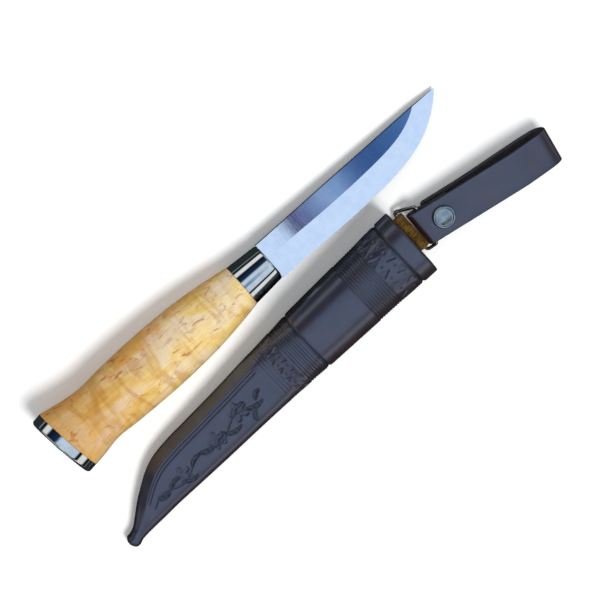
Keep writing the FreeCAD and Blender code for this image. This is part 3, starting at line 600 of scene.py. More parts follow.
@dataclass(frozen=True)
class RawLeather(Finish):
    """The flesh side of tanned cowhide, undyed and brushed: matt, fibrous, tan."""

    name: str = "raw_leather_flesh_side"

    def build(self) -> bpy.types.Material:
        """The finished material."""
        material, tree, shader = self.start()
        fibre = add(tree, "ShaderNodeTexNoise", {
            "Vector": millimetres(tree, (1.4, 0.8, 0.8)), "Scale": 1.0,
            "Detail": 5.0, "Roughness": 0.7, "Distortion": 0.8,
        })
        stain = add(tree, "ShaderNodeTexNoise", {
            "Vector": millimetres(tree, (4, 4, 4)), "Scale": 1.0, "Detail": 3.0, "Roughness": 0.6,
        })
        ground = add(tree, "ShaderNodeValToRGB", {"Fac": fibre}, [
            (0.35, paint("#3E2A0E")), (0.52, paint("#7A5A22")), (0.68, paint("#A07C38")),
        ])
        dark = add(tree, "ShaderNodeValToRGB", {"Fac": stain}, [(0.40, grey(0.35)), (0.60, grey(1.0))])
        ground = add(
            tree, "ShaderNodeMix", {0: 0.7, 6: ground, 7: dark}, blend_type="MULTIPLY", **COLOUR_MIX,
        ).outputs[2]
        tree.links.new(ground, shader.inputs["Base Color"])
        rough = add(tree, "ShaderNodeMapRange", {
            "Value": fibre, "From Min": 0.3, "From Max": 0.7, "To Min": 0.80, "To Max": 0.95,
        })
        bump = add(tree, "ShaderNodeBump", {"Height": fibre, "Strength": 0.6, "Distance": 0.12 * MM})
        self.wire(tree, shader, {"Roughness": rough, "Normal": bump})
        shader.inputs["Sheen Weight"].default_value = 0.15
        return material


@dataclass(frozen=True)
class PlainStuff(Finish):
    """A plain matt stuff with a fine surface, such as moulded plastic or thread."""

    name: str
    dark: str
    light: str
    rough: float
    grain: Point
    relief: float

    def build(self) -> bpy.types.Material:
        """The finished material."""
        material, tree, shader = self.start()
        texture = add(tree, "ShaderNodeTexNoise", {
            "Vector": millimetres(tree, self.grain), "Scale": 1.0, "Detail": 3.0, "Roughness": 0.6,
        })
        tint = add(tree, "ShaderNodeValToRGB", {"Fac": texture}, [
            (0.35, paint(self.dark)), (0.65, paint(self.light)),
        ])
        rough = add(tree, "ShaderNodeMapRange", {
            "Value": texture, "From Min": 0.3, "From Max": 0.7,
            "To Min": self.rough - 0.06, "To Max": self.rough + 0.06,
        })
        bump = add(tree, "ShaderNodeBump", {
            "Height": texture, "Strength": 0.4, "Distance": self.relief * MM,
        })
        self.wire(tree, shader, {"Base Color": tint, "Roughness": rough, "Normal": bump})
        return material


@dataclass
class FinishRack:
    """Every finish that the pieces take, built once."""

    # Forged carbon steel, ground and mirror-buffed: cold, faint lines across.
    steel: bpy.types.Material = field(default_factory=lambda: PolishedMetal(
        "buffed_carbon_steel", "#F4F7FB", "#EAF0F7", 0.035, (0.5, 14, 14)).build())
    # Nickel silver, cast and buffed bright: a warm silver mirror.
    nickel: bpy.types.Material = field(default_factory=lambda: PolishedMetal(
        "buffed_nickel_silver", "#E4E3DC", "#D6D5CE", 0.05, (9, 0.5, 0.5)).build())
    # Nickel-plated brass, stamped and tumbled: satin, not a mirror.
    stud: bpy.types.Material = field(default_factory=lambda: PolishedMetal(
        "plated_stud_cap", "#AEB6B6", "#8F9A9C", 0.17, (1.2, 1.2, 1.2)).build())
    # Nickel-plated steel wire, drawn then plated: pale, with a soft shine.
    wire: bpy.types.Material = field(default_factory=lambda: PolishedMetal(
        "nickel_plated_wire", "#D2CCB8", "#B9B29C", 0.16, (0.6, 0.6, 0.6)).build())
    # The wood of the grip, and the two leathers: see their own classes.
    birch: bpy.types.Material = field(default_factory=lambda: CurlyBirch().build())
    leather: bpy.types.Material = field(default_factory=lambda: TooledLeather().build())
    raw: bpy.types.Material = field(default_factory=lambda: RawLeather().build())
    # Injection-moulded polypropylene with a fine spark texture.
    plastic: bpy.types.Material = field(default_factory=lambda: PlainStuff(
        "moulded_polypropylene", "#0C0C0D", "#17171A", 0.55, (0.7, 0.7, 0.7), 0.04).build())
    # Waxed linen thread, twisted: dark, with a dull shine.
    thread: bpy.types.Material = field(default_factory=lambda: PlainStuff(
        "waxed_linen_thread", "#15100D", "#33261C", 0.5, (0.35, 0.5, 0.5), 0.08).build())


# ---------------------------------------------------------------------------
# Knife
# ---------------------------------------------------------------------------
@dataclass
class Knife:
    """The knife: wood, bolster and butt cap, with the blade kept as it is.

    Each oval is its place as a share of the handle's length, its offset
    towards the spine, its height, its width and its tilt in degrees.
    """

    rack: FinishRack
    handle_length: float = 100.8
    ovals: Sequence[Tuple[float, float, float, float, float]] = (
        (-1.0, 0.4, 33.2, 25.0, 7.0),
        (-0.935, 0.0, 30.68, 23.40, 4.2),
        (-0.84, 0.0, 27.6, 21.81, 0.0),
        (-0.71, 0.0, 28.81, 22.50, 0.0),
        (-0.47, 0.0, 29.8, 23.2, 0.0),
        (-0.25, 0.0, 27.86, 22.39, 0.0),
        (-0.09, 0.0, 23.85, 20.19, 0.0),
        (0.0, 0.0, 20.8, 18.6, 0.0),
    )
    bolster_back: Tuple[float, float] = (20.6, 18.4)
    bolster_front: Tuple[float, float] = (18.3, 16.4)
    bolster_length: float = 16.4
    bolster_round: float = 1.2
    cap_size: Tuple[float, float] = (33.0, 24.8)
    cap_thickness: float = 5.2
    cap_round: float = 1.4
    around: int = 96

    def ring(self, x: float, y: float, height: float, width: float, tilt: float) -> np.ndarray:
        """One oval of the knife's line.

        Args:
            x: its place along the knife.
            y: its offset towards the spine.
            height: its size from spine to edge.
            width: its size from side to side.
            tilt: how far it leans, in degrees.

        Returns:
            The oval's points.
        """
        section = oval(height / 2, width / 2, 2.0, self.around // 2, self.around // 2)
        lean = math.radians(tilt)
        return np.column_stack(
            [
                x - section[:, 0] * math.sin(lean),
                y + section[:, 0] * math.cos(lean),
                section[:, 1],
            ]
        )

    @staticmethod
    def rounding(length: float, radius: float, count: int) -> List[Tuple[float, float]]:
        """Places and insets that round off the last edge of a metal piece.

        Args:
            length: where the piece ends.
            radius: how round the edge is.
            count: how many places, with the edge's start, which is left out.

        Returns:
            The places, each with how far the skin stands in there.
        """
        return [
            (length - radius * (1 - math.sin(turn)), radius * (1 - math.cos(turn)))
            for turn in np.linspace(0, math.pi / 2, count)[1:]
        ]

    def handle(self) -> bmesh.types.BMesh:
        """The wooden grip, from the butt cap to the bolster."""
        places = np.linspace(-1.0, 0.0, 110)
        rows = smooth_rows(self.ovals, places)
        return loft(np.array([self.ring(x * self.handle_length, *row) for x, row in zip(places, rows)]))

    def bolster(self) -> bmesh.types.BMesh:
        """The tapered oval ferrule, its front edge rounded.

        Returns:
            Its mesh.
        """
        rings = []
        steps = [(0.0, 0.25), (0.25, 0.0)]
        steps += [(place, 0.0) for place in np.linspace(1.0, self.bolster_length - self.bolster_round, 14)]
        steps += self.rounding(self.bolster_length, self.bolster_round, 9)
        for place, inset in steps:
            share = place / self.bolster_length
            height = self.bolster_back[0] + (self.bolster_front[0] - self.bolster_back[0]) * share
            width = self.bolster_back[1] + (self.bolster_front[1] - self.bolster_back[1]) * share
            rings.append(self.ring(place, 0.0, height - 2 * inset, width - 2 * inset, 0.0))
        return loft(np.array(rings))

    def cap(self) -> bmesh.types.BMesh:
        """The flat oval butt plate, its outer edge rounded.

        Returns:
            Its mesh.
        """
        x, y, _, _, tilt = self.ovals[0]
        x *= self.handle_length
        lean = math.radians(tilt)
        steps = [(0.0, 0.2), (0.2, 0.0), (1.2, 0.0), (2.6, 0.0), (self.cap_thickness - self.cap_round, 0.0)]
        steps += self.rounding(self.cap_thickness, self.cap_round, 10)
        rings = [
            self.ring(
                x - place * math.cos(lean), y - place * math.sin(lean),
                self.cap_size[0] - 2 * inset, self.cap_size[1] - 2 * inset, tilt,
            )
            for place, inset in steps
        ]
        return loft(np.array(rings))

    def build(self) -> None:
        """Make and dress the knife's pieces."""
        birch, nickel = self.rack.birch, self.rack.nickel
        for name, mesh, finish, slot, node in (
            ("birch_handle", self.handle(), birch, "birch", "handle"),
            ("bolster_ferrule", self.bolster(), nickel, "nickel", "bolster"),
            ("butt_plate", self.cap(), nickel, "nickel", "butt_cap"),
        ):
            Piece(name, mesh, KNIFE_SEAT, finish, slot, (node,), Body.KNIFE).place()
        dress("blade", self.rack.steel)


# ---------------------------------------------------------------------------
# Sheath
# ---------------------------------------------------------------------------
@dataclass(frozen=True)
class Stroke:
    """One cut of the ornament: a line with a width and a depth."""

    points: Sequence[Tuple[float, float]]
    width: float = 1.3
    depth: float = 0.55

    def sink(self, x: np.ndarray, y: np.ndarray) -> np.ndarray:
        """How deep the cut is at each place.

        Args:
            x: the places along the sheath.
            y: the places across it.

        Returns:
            The depths in millimetres.
        """
        near = np.full(x.shape, 1e9)
        for (x0, y0), (x1, y1) in zip(self.points, self.points[1:]):
            dx, dy = x1 - x0, y1 - y0
            share = np.clip(((x - x0) * dx + (y - y0) * dy) / (dx * dx + dy * dy + 1e-9), 0, 1)
            near = np.minimum(near, np.hypot(x - x0 - share * dx, y - y0 - share * dy))
        return self.depth * (1 - ease(self.width * 0.25, self.width * 0.75, near))


def bud(centre: Tuple[float, float], radius: float) -> List[Tuple[float, float]]:
    """Points of the open ring in the middle of a flower."""
    turns = [math.radians(330 * (step / 12)) for step in range(13)]
    return [(centre[0] + radius * math.cos(turn), centre[1] + radius * math.sin(turn)) for turn in turns]


def rosette(centre: Tuple[float, float], size: float) -> List[Stroke]:
    """A generic flower: five pressed petals round a bud.

    Args:
        centre: the middle of the flower.
        size: the flower's width.

    Returns:
        Its cuts.
    """
    cuts = []
    for petal in range(5):
        angle = math.radians(18 + 72 * petal)
        ahead = (math.cos(angle), math.sin(angle))
        near = (centre[0] + 0.48 * size * ahead[0], centre[1] + 0.48 * size * ahead[1])
        far = (centre[0] + 0.78 * size * ahead[0], centre[1] + 0.78 * size * ahead[1])
        cuts.append(Stroke([near, far], 0.5 * size, 0.42))
    cuts.append(Stroke(bud(centre, 0.1 * size), 0.22 * size, 0.3))
    return cuts


def leaf(root: Tuple[float, float], length: float, heading: float, bend: float) -> List[Stroke]:
    """A generic pressed leaf that bends to one side and tapers to its tip.

    Args:
        root: where it leaves the stem.
        length: how long it is.
        heading: its direction at the root, in degrees.
        bend: which way it bends, from -1 to 1.

    Returns:
        Its cuts, from root to tip.
    """
    marks = []
    for step in range(9):
        share = step / 8
        angle = math.radians(heading + 70 * bend * share)
        last = marks[-1] if marks else root
        reach = length / 8 if marks else 0.0
        marks.append((last[0] + reach * math.cos(angle), last[1] + reach * math.sin(angle)))
    return [
        Stroke(marks[:4], 1.2, 0.34),
        Stroke(marks[2:6], 1.9, 0.42),
        Stroke(marks[5:8], 1.35, 0.38),
        Stroke(marks[7:], 0.8, 0.3),
    ]


def vine(start: float, end: float, base: float, rise: float, wave: float) -> Stroke:
    """A thin wavy stem that carries the leaves and flowers.

    Args:
        start: where it starts along the sheath.
        end: where it ends.
        base: how far from the back edge it starts.
        rise: how much further it is at its end.
        wave: how far it swings to each side.

    Returns:
        The stem as one cut.
    """
    marks = []
    for step in range(41):
        share = step / 40
        marks.append(
            (start + (end - start) * share, base + rise * share + wave * math.sin(share * WAVES * math.pi))
        )
    return Stroke(marks, 0.85, 0.3)


@dataclass
class Sheath:
    """The belt sheath: tooled leather, its seam, its tab and its liner.

    Each rib is its place along the back edge, the back edge, the curved edge,
    the thickness and the squareness of the section. A ring band is where it
    starts, its pitch, its count and the width of a ring. A groove is its
    place, width and depth. A panel line is how far it lies inside the curved
    edge, its width and its depth. The vine line is what vine() takes.
    """

    rack: FinishRack
    knob: float = 7.0
    pocket: float = 12.0
    mouth_depth: float = 26.3
    width_ratio: float = 32.9 / 32.8
    wall: float = 1.3
    length: float = 183.0
    front_points: int = 138
    back_points: int = 62
    stitch_start: float = 13.0
    stitch_end: float = 160.0
    stitch_pitch: float = 6.4
    stitch_length: float = 4.4
    tab_width: float = 19.0
    tab_thickness: float = 1.5
    tab_centre: float = 16.3
    tab_start: float = 168.0
    tab_bend: float = 181.5
    tab_roll: float = 232.0
    tab_gap: float = 0.02
    tab_play: float = 0.14
    tab_inset: float = 0.15
    bar_x: float = 185.2
    eye: float = 0.9
    panel_bevel: float = 5.0
    panel_edge: float = 1.7
    panel_lines: Sequence[Tuple[float, float, float]] = ((6.5, 0.4, 0.28), (5.1, 0.35, 0.16))
    ring_bands: Sequence[Tuple[float, float, int, float]] = ((150.2, 1.36, 10, 0.40), (109.3, 1.28, 8, 0.38))
    ring_depth: float = 0.36
    grooves: Sequence[Tuple[float, float, float]] = (
        (119.4, 0.62, 0.75), (174.9, 0.55, 0.6), (97.2, 0.4, 0.12), (98.8, 0.4, 0.12), (100.4, 0.4, 0.12),
    )
    stamp_bands: Sequence[Tuple[float, float]] = ((163.4, 173.6), (101.6, 108.0))
    stamps_round: int = 14
    stamp_depth: float = 0.36
    dot_depth: float = 0.3
    mouth_swell: float = 0.22
    lip_round: float = 0.55
    dyed_depth: float = 1.15
    vine_line: Tuple[float, float, float, float, float] = (20.0, 86.0, 6.2, 6.0, 2.0)
    ribs: List[Tuple[float, float, float, float, float]] = field(init=False)

    def __post_init__(self) -> None:
        """Work out the ribs from the sheath's own thicknesses."""
        k, p, m = self.knob, self.pocket, self.mouth_depth
        self.ribs = [
            (0.0, 0.1, 2.9, 0.45 * k, 2.0),
            (0.8, -1.3, 4.1, 0.82 * k, 2.0),
            (2.8, -2.2, 4.6, k, 2.1),
            (5.6, -1.3, 5.5, 0.95 * k, 2.2),
            (8.8, -0.9, 7.8, 1.04 * k, 2.4),
            (14.6, -0.65, 12.4, 0.76 * p, 2.6),
            (20.6, -0.5, 16.4, 0.84 * p, 2.8),
            (27.6, -0.2, 20.5, 0.90 * p, 3.0),
            (34.0, -0.15, 22.9, 0.93 * p, 3.1),
            (43.6, -0.2, 24.3, 0.97 * p, 3.1),
            (55.6, -0.2, 25.0, p, 3.1),
            (78.6, 0.0, 26.3, 1.04 * p, 3.1),
            (94.0, 0.0, 27.5, 1.10 * p, 3.0),
            (103.0, -0.1, 28.1, 0.7 * p + 0.27 * m, 2.8),
            (112.0, -0.2, 28.8, 0.25 * p + 0.66 * m, 2.6),
            (119.5, -0.4, 29.5, 0.925 * m, 2.5),
            (128.0, -0.5, 29.9, 0.955 * m, 2.5),
            (138.0, -0.6, 30.3, 0.965 * m, 2.5),
            (149.0, -0.7, 30.7, 0.975 * m, 2.5),
            (160.0, -0.8, 31.1, 0.985 * m, 2.5),
            (171.0, -0.9, 31.5, 0.993 * m, 2.5),
            (183.0, -1.0, 31.8, m, 2.5),
            (195.0, -1.1, 32.1, 1.005 * m, 2.5),
        ]
        self.ribs = [(r[0], r[1] * self.width_ratio, r[2] * self.width_ratio, r[3], r[4]) for r in self.ribs]

    def section(self, row: np.ndarray, grow: float) -> np.ndarray:
        """One rounded section of the sheath.

        Args:
            row: the rib's values there.
            grow: how far it stands out, or in where negative.

        Returns:
            The points, as pairs of Y and Z.
        """
        back, front, depth, square = row
        ring = oval((front - back) / 2 + grow, depth / 2 + grow, square, self.front_points, self.back_points)
        ring[:, 0] += (back + front) / 2
        return ring

    def panel(self, places: np.ndarray, rows: np.ndarray, skin: np.ndarray) -> None:
        """Flatten the front of the blade pocket and slope it to the curved edge.

        Args:
            places: the place of each ring.
            rows: the ribs' values there.
            skin: the rings, whose heights are changed.
        """
        for index, place in enumerate(places):
            amount = float(ease(12.0, 24.0, np.array(place)) * (1 - ease(90.0, 103.0, np.array(place))))
            if amount <= 0:
                continue
            half = rows[index, 2] / 2
            inset = rows[index, 1] - skin[index, :, 1]
            slope = self.panel_edge + (half - self.panel_edge) * np.clip(inset / self.panel_bevel, 0, None)
            height = skin[index, :, 2]
            limit = np.minimum(height, np.minimum(slope, half * 0.985))
            skin[index, :, 2] = np.where(height > 0, height + (limit - height) * amount, height)

    def ornament(self) -> List[Stroke]:
        """The generic vine of flowers and leaves cut in the blade pocket's front.

        Returns:
            All of its cuts.
        """
        start, end, base, rise, wave = self.vine_line
        cuts: List[Stroke] = [vine(*self.vine_line)]
        for place, level, size in ((39.5, 8.8, 4.0), (61.0, 10.0, 4.3), (76.5, 13.2, 4.6)):
            cuts += rosette((place, level), size)
        for step in range(9):
            place = 24.0 + 7.0 * step
            share = (place - start) / (end - start)
            level = base + rise * share + wave * math.sin(share * WAVES * math.pi)
            side = 1 if step % 2 else -1
            cuts += leaf((place, level), 6.2 + 0.3 * step, 52 * side, -side)
        cuts += leaf((82.5, 8.0), 5.0, -160, 1.0)
        cuts += leaf((86.0, 12.2), 4.6, 70, -1.0)
        return cuts

    def tooling(self, places: np.ndarray, rows: np.ndarray, skin: np.ndarray) -> np.ndarray:
        """How deep the tooling is at every point, in millimetres.

        Args:
            places: the place of each ring; not used.
            rows: the ribs' values there.
            skin: the plain rings.

        Returns:
            A depth for each ring and point, negative where leather stands up.
        """
        x = skin[:, :, 0]
        y = skin[:, :, 1]
        front = ease(-0.2, 0.6, skin[:, :, 2])
        sink = np.zeros(x.shape)

        def groove(at: float, width: float, depth: float) -> np.ndarray:
            """A soft groove round the sheath."""
            return depth * np.exp(-(((x - at) / width) ** 2))

        for start, pitch, count, width in self.ring_bands:
            for step in range(count):
                sink += groove(start + pitch * step, width, self.ring_depth)
        for at, width, depth in self.grooves:
            sink += groove(at, width, depth)
        sink -= self.mouth_swell * ease(175.2, 176.0, x)

        # Rows of stamped triangles round the barrel, points inwards, each with a dot.
        step = np.hypot(np.diff(skin[:, :, 1], axis=1), np.diff(skin[:, :, 2], axis=1))
        around = np.concatenate([np.zeros((len(skin), 1)), np.cumsum(step, axis=1)], axis=1)
        whole = around[:, -1:] + np.hypot(
            skin[:, 0, 1] - skin[:, -1, 1], skin[:, 0, 2] - skin[:, -1, 2])[:, None]
        for low, high in self.stamp_bands:
            tall = high - low
            cell = (around / whole * self.stamps_round) % 1.0 - 0.5
            pitch = whole / self.stamps_round
            middle_off = np.abs(cell) * pitch
            side_off = np.abs(np.abs(cell) - 0.5) * pitch
            for off, rise, level in ((middle_off, x - low, 0.74), (side_off, high - x, 0.26)):
                wedge = (tall * 0.46 - rise) * 0.42 - off
                sink += self.stamp_depth * ease(-0.25, 0.45, wedge) * ease(-0.3, 0.3, rise)
                dot = np.hypot(off, x - (low + tall * level))
                sink += self.dot_depth * (1 - ease(0.25, 0.75, dot))

        # The two lines inside the pocket's ridge, and the ornament.
        curved = rows[:, 1][:, None]
        flat = front * ease(17.0, 21.0, x) * (1 - ease(92.0, 95.0, x))
        for inset, width, depth in self.panel_lines:
            sink += depth * np.exp(-(((curved - inset - y) / width) ** 2)) * flat
        for cut in self.ornament():
            sink += cut.sink(x, y) * front

        # The butt seam along the middle of the back: a channel and the join in it.
        behind = ease(-0.2, 0.6, -skin[:, :, 2])
        middle = ((rows[:, 0] + rows[:, 1]) / 2)[:, None]
        seam = np.exp(-(((y - middle) / 0.75) ** 2)) * behind
        sink += 0.55 * seam * ease(7.0, 11.0, x) * (1 - ease(162.0, 166.0, x))
        sink += 0.3 * np.exp(-(((y - middle) / 0.3) ** 2)) * behind * ease(7.0, 11.0, x)
        return np.clip(sink, -0.3, 0.85)

    def leather(self) -> Piece:
        """The tooled shell with its rolled mouth and its inner wall.

        Returns:
            The piece, with its tooling and its flesh side as layers.
        """
        # Rings stand closest where the tooling is finest.
        places = np.concatenate(
            [
                np.linspace(0.0, 2.4, 7),
                np.arange(3.2, 17.0, 0.8),
                np.arange(17.0, 95.0, 0.42),
                np.arange(95.0, 121.0, 0.34),
                np.arange(121.4, 149.0, 1.4),
                np.arange(149.4, 176.4, 0.34),
                np.arange(177.0, 182.9, 0.9),
            ]
        )
        rows = smooth_rows(self.ribs, places)
        sections = np.array([self.section(row, 0.0) for row in rows])
        skin = np.concatenate([np.repeat(places[:, None, None], sections.shape[1], axis=1), sections], axis=2)
        self.panel(places, rows, skin)
        sink = self.tooling(places, rows, skin)
        along = np.gradient(skin, axis=0)
        across = (np.roll(skin, -1, axis=1) - np.roll(skin, 1, axis=1)) / 2
        normal = np.cross(across, along)
        normal /= np.linalg.norm(normal, axis=2, keepdims=True) + 1e-12
        middle = skin.mean(axis=1, keepdims=True)
        normal *= np.sign(np.sum(normal * (skin - middle), axis=2, keepdims=True))
        skin = skin - normal * sink[:, :, None]

        # The mouth's rolled lip, then the wall inside it.
        lips = []
        for turn in np.linspace(0, math.pi, 9):
            grow = self.mouth_swell - (self.wall + self.mouth_swell) * (1 - math.cos(turn)) / 2
            lips.append((self.length - self.lip_round + self.lip_round * math.sin(turn), grow))
        inner = [(self.length - step, -self.wall) for step in (3, 7, 12, 18, 26, 34, 42, 50, 58, 66)]
        extra = []
        for place, grow in lips + inner:
            row = smooth_rows(self.ribs, np.array([place]))[0]
            ring = self.section(row, grow)
            extra.append(np.column_stack([np.full(len(ring), place), ring]))
        rings = np.concatenate([skin, np.array(extra)])
        deep = np.concatenate([np.clip(sink / self.dyed_depth, 0, 1), np.zeros((len(extra), skin.shape[1]))])
        flesh = np.zeros(rings.shape[:2])
        flesh[len(skin) + 7:] = 1.0
        return Piece(
            "tooled_sheath", loft(rings), SHEATH_SEAT, self.rack.leather, "leather_dark",
            ("sheath_leather",), Body.SHEATH, {"tooling": deep, "flesh": flesh},
        )

    def stitches(self) -> bmesh.types.BMesh:
        """The seam's stitches, each a flat tapered bead of thread.

        Returns:
            One mesh of them all.
        """
        mesh = bmesh.new()
        place = self.stitch_start
        while place < self.stitch_end:
            here, ahead = smooth_rows(self.ribs, np.array([place, place + 1.0]))
            slope = math.atan2(ahead[2] / 2 - here[2] / 2, 1.0)
            spot = (
                Matrix.Translation((place, (here[0] + here[1]) / 2, -here[2] / 2 + 0.34))
                @ Matrix.Rotation(slope, 4, "Y")
                @ Matrix.Diagonal((self.stitch_length / 2, 0.5, 0.36, 1.0))
            )
            bmesh.ops.create_icosphere(mesh, subdivisions=3, radius=1.0, matrix=spot)
            place += self.stitch_pitch
        return mesh

    def tab(self) -> bmesh.types.BMesh:
        """The leather tab under the mouth, rolled round the hanger wire.

        Returns:
            Its mesh.
        """
        row = smooth_rows(self.ribs, np.array([self.length]))[0]
        middle = self.tab_thickness / 2
        bar_z = -row[2] / 2 - self.tab_gap - middle
        reach = self.eye + self.tab_play + middle
        path = [(place, bar_z, 1.0) for place in np.linspace(self.tab_start, self.tab_bend, 14)]
        for share in np.linspace(0, 1, 8)[1:]:
            drop = share * share * (3 - 2 * share)
            place = self.tab_bend + (self.bar_x - self.tab_bend) * share
            path.append((place, bar_z - reach * drop, 1.0 - drop))
        for turn in np.linspace(0, self.tab_roll, 26)[1:]:
            angle = math.radians(turn - 90)
            path.append((self.bar_x + reach * math.cos(angle), bar_z + reach * math.sin(angle), 0.0))
        line = np.array([(x, z) for x, z, _ in path])
        along = np.gradient(line, axis=0)
        along /= np.linalg.norm(along, axis=1, keepdims=True)
        strip = rounded_bar(self.tab_width / 2 - self.tab_inset, middle, 0.5)
        rings = []
        for (x, z, curve), (dx, dz) in zip(path, along):
            here = smooth_rows(self.ribs, np.array([min(x, self.length)]))[0]
            half = (here[1] - here[0]) / 2
            side = self.tab_centre + strip[:, 0]
            share = np.clip(np.abs(side - (here[0] + here[1]) / 2) / half, 0, 0.98)
            wall = -here[2] / 2 * (1 - share ** here[3]) ** (1 / here[3]) - self.tab_gap - middle
            level = z + curve * (wall - bar_z)
            rings.append(np.column_stack([x - strip[:, 1] * dz, side, level + strip[:, 1] * dx]))
        return loft(np.array(rings))

    def build(self) -> None:
        """Make and dress the sheath's pieces."""
        self.leather().place()
        for name, mesh, finish, slot, node in (
            ("seam_stitches", self.stitches(), self.rack.thread, "thread", "seam_thread"),
            ("wire_tab", self.tab(), self.rack.raw, "leather_tan", "hanger_tab"),
        ):
            Piece(name, mesh, SHEATH_SEAT, finish, slot, (node,), Body.SHEATH).place()
        dress("blade_liner", self.rack.plastic)
        dress("hanger_ring", self.rack.wire)


# ---------------------------------------------------------------------------
# Belt loop
# ---------------------------------------------------------------------------
@dataclass
class BeltLoop:
    """The folded strap and its press stud, in the loop's own frame."""

    rack: FinishRack
    width: float = 17.0
    thickness: float = 2.0
    eye: float = 0.9
    run: float = 60.15
    fold_z: float = -3.6
    fold: float = 6.5
    droop_run: float = 16.0
    droop_share: float = 0.5
    return_end: float = 15.0
    return_flat: float = 3.2
    flap_end: float = 2.5
    flap_flat: float = 17.0
    flap_level: float = -5.65
    stud_x: float = 8.4
    cap_radius: float = 5.3
    cap_foot: float = 2.9
    cap_height: float = 1.9

    def droop(self, x: float, z: float) -> float:
        """How far the front run sinks as it nears the far fold.

        Args:
            x: the place along the strap.
            z: the height over the wire's axis.

        Returns:
            The drop in millimetres.
        """
        share = float(ease(self.run - self.droop_run, self.run + self.fold, np.array(x)))
        return self.droop_share * share * max(z - self.fold_z, 0.0)

    def line(self) -> np.ndarray:
        """The middle of the strap's thickness, from its return end to its flap.

        Returns:
            Places along the strap, as pairs of X and Z.
        """
        half = self.thickness / 2
        roll = self.eye + half
        bend = self.fold - half
        marks = [(x, self.eye - 0.05 - half) for x in np.linspace(self.return_end, self.return_flat + 2, 16)]
        for share in np.linspace(0, 1, 6)[1:]:
            drop = share * share * (3 - 2 * share)
            low = self.eye - 0.05 - half
            marks.append(((self.return_flat + 2) * (1 - share), low + (-roll - low) * drop))
        marks += [
            (roll * math.cos(math.radians(a)), roll * math.sin(math.radians(a)))
            for a in np.linspace(270, 90, 22)[1:]
        ]
        marks += [(x, roll) for x in np.linspace(0, self.run, 76)[1:]]
        marks += [
            (self.run + bend * math.cos(math.radians(a)), self.fold_z + bend * math.sin(math.radians(a)))
            for a in np.linspace(90, -90, 34)[1:]
        ]
        marks = [(x, z - self.droop(x, z)) for x, z in marks]
        floor = self.fold_z - bend
        for share in np.linspace(1, 0, 52)[1:]:
            rise = share * share * (3 - 2 * share)
            marks.append((
                self.flap_flat + (self.run - self.flap_flat) * share,
                self.flap_level + (floor - self.flap_level) * rise,
            ))
        marks += [(x, self.flap_level) for x in np.linspace(self.flap_flat, self.flap_end, 14)[1:]]
        return np.array(marks)

    def lip(self, ring: np.ndarray) -> np.ndarray:
        """How far the strap's rolled end bulges past the wire.

        Args:
            ring: the points of one section of the strap.

        Returns:
            The bulge of each point in millimetres, more on the far side.
        """
        round_wire = 1 - ease(-1.0, 0.6, ring[:, 0])
        above = ease(-3.2, -1.0, ring[:, 2])
        far_side = 0.5 + 0.5 * np.clip(ring[:, 1] / (self.width / 2), -1, 1)
        return round_wire * (0.3 + 0.7 * above) * (0.3 + 2.6 * far_side)

    def strap(self) -> Tuple[bmesh.types.BMesh, Dict[str, np.ndarray]]:
        """The strap as one strip.

        Returns:
            Its mesh, and the layers that say which points are the flesh side.
        """
        line = self.line()
        along = np.gradient(line, axis=0)
        along /= np.linalg.norm(along, axis=1, keepdims=True)
        section = rounded_bar(self.width / 2, self.thickness / 2, 0.55)
        # The two cut ends are a little smaller, which softens their corners.
        taper = np.ones(len(line))
        taper[[0, -1]] = 0.90
        rings = []
        for (x, z), (dx, dz), size in zip(line, along, taper):
            across, up = section[:, 0] * size, section[:, 1] * size
            ring = np.column_stack([x - up * dz, across, z + up * dx])
            ring[:, 0] -= self.lip(ring)
            rings.append(ring)
        inner = 1 - ease(-self.thickness * 0.45, -self.thickness * 0.2, section[:, 1])
        flesh = np.tile(inner, (len(line), 1))
        return loft(np.array(rings)), {"flesh": flesh, "tooling": np.zeros(flesh.shape)}

    def cap(self) -> bmesh.types.BMesh:
        """The press stud's cap: a rolled rim round a low dome.

        Returns:
            Its mesh.
        """
        r, foot, tall = self.cap_radius, self.cap_foot, self.cap_height
        profile = [(0.0, foot - 0.3), (r - 0.5, foot - 0.3), (r - 0.12, foot)]
        for turn in np.linspace(-20, 150, 14):
            angle = math.radians(turn)
            profile.append((r - 0.72 + 0.72 * math.cos(angle), foot + 0.62 + 0.88 * math.sin(angle)))
        for share in np.linspace(0.0, 1.0, 14):
            radius = (r - 1.55) * (1 - share)
            profile.append((radius, foot + tall * (0.55 + 0.2 * (1 - (1 - share) ** 2))))
        return lathe(profile, self.stud_x, 72)

    def build(self) -> None:
        """Make and dress the loop's pieces."""
        mesh, layers = self.strap()
        strap = Piece(
            "belt_loop_strap", mesh, LOOP_SEAT, self.rack.leather, "leather_dark",
            ("belt_strap", "belt_flap"), None, layers,
        ).place()
        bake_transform(strap)
        Piece("stud_cap", self.cap(), LOOP_SEAT, self.rack.stud, "nickel", ("snap_cap",), Body.LOOP).place()
        for node in ("snap_socket", "snap_stud", "snap_post"):
            dress(node, self.rack.nickel)


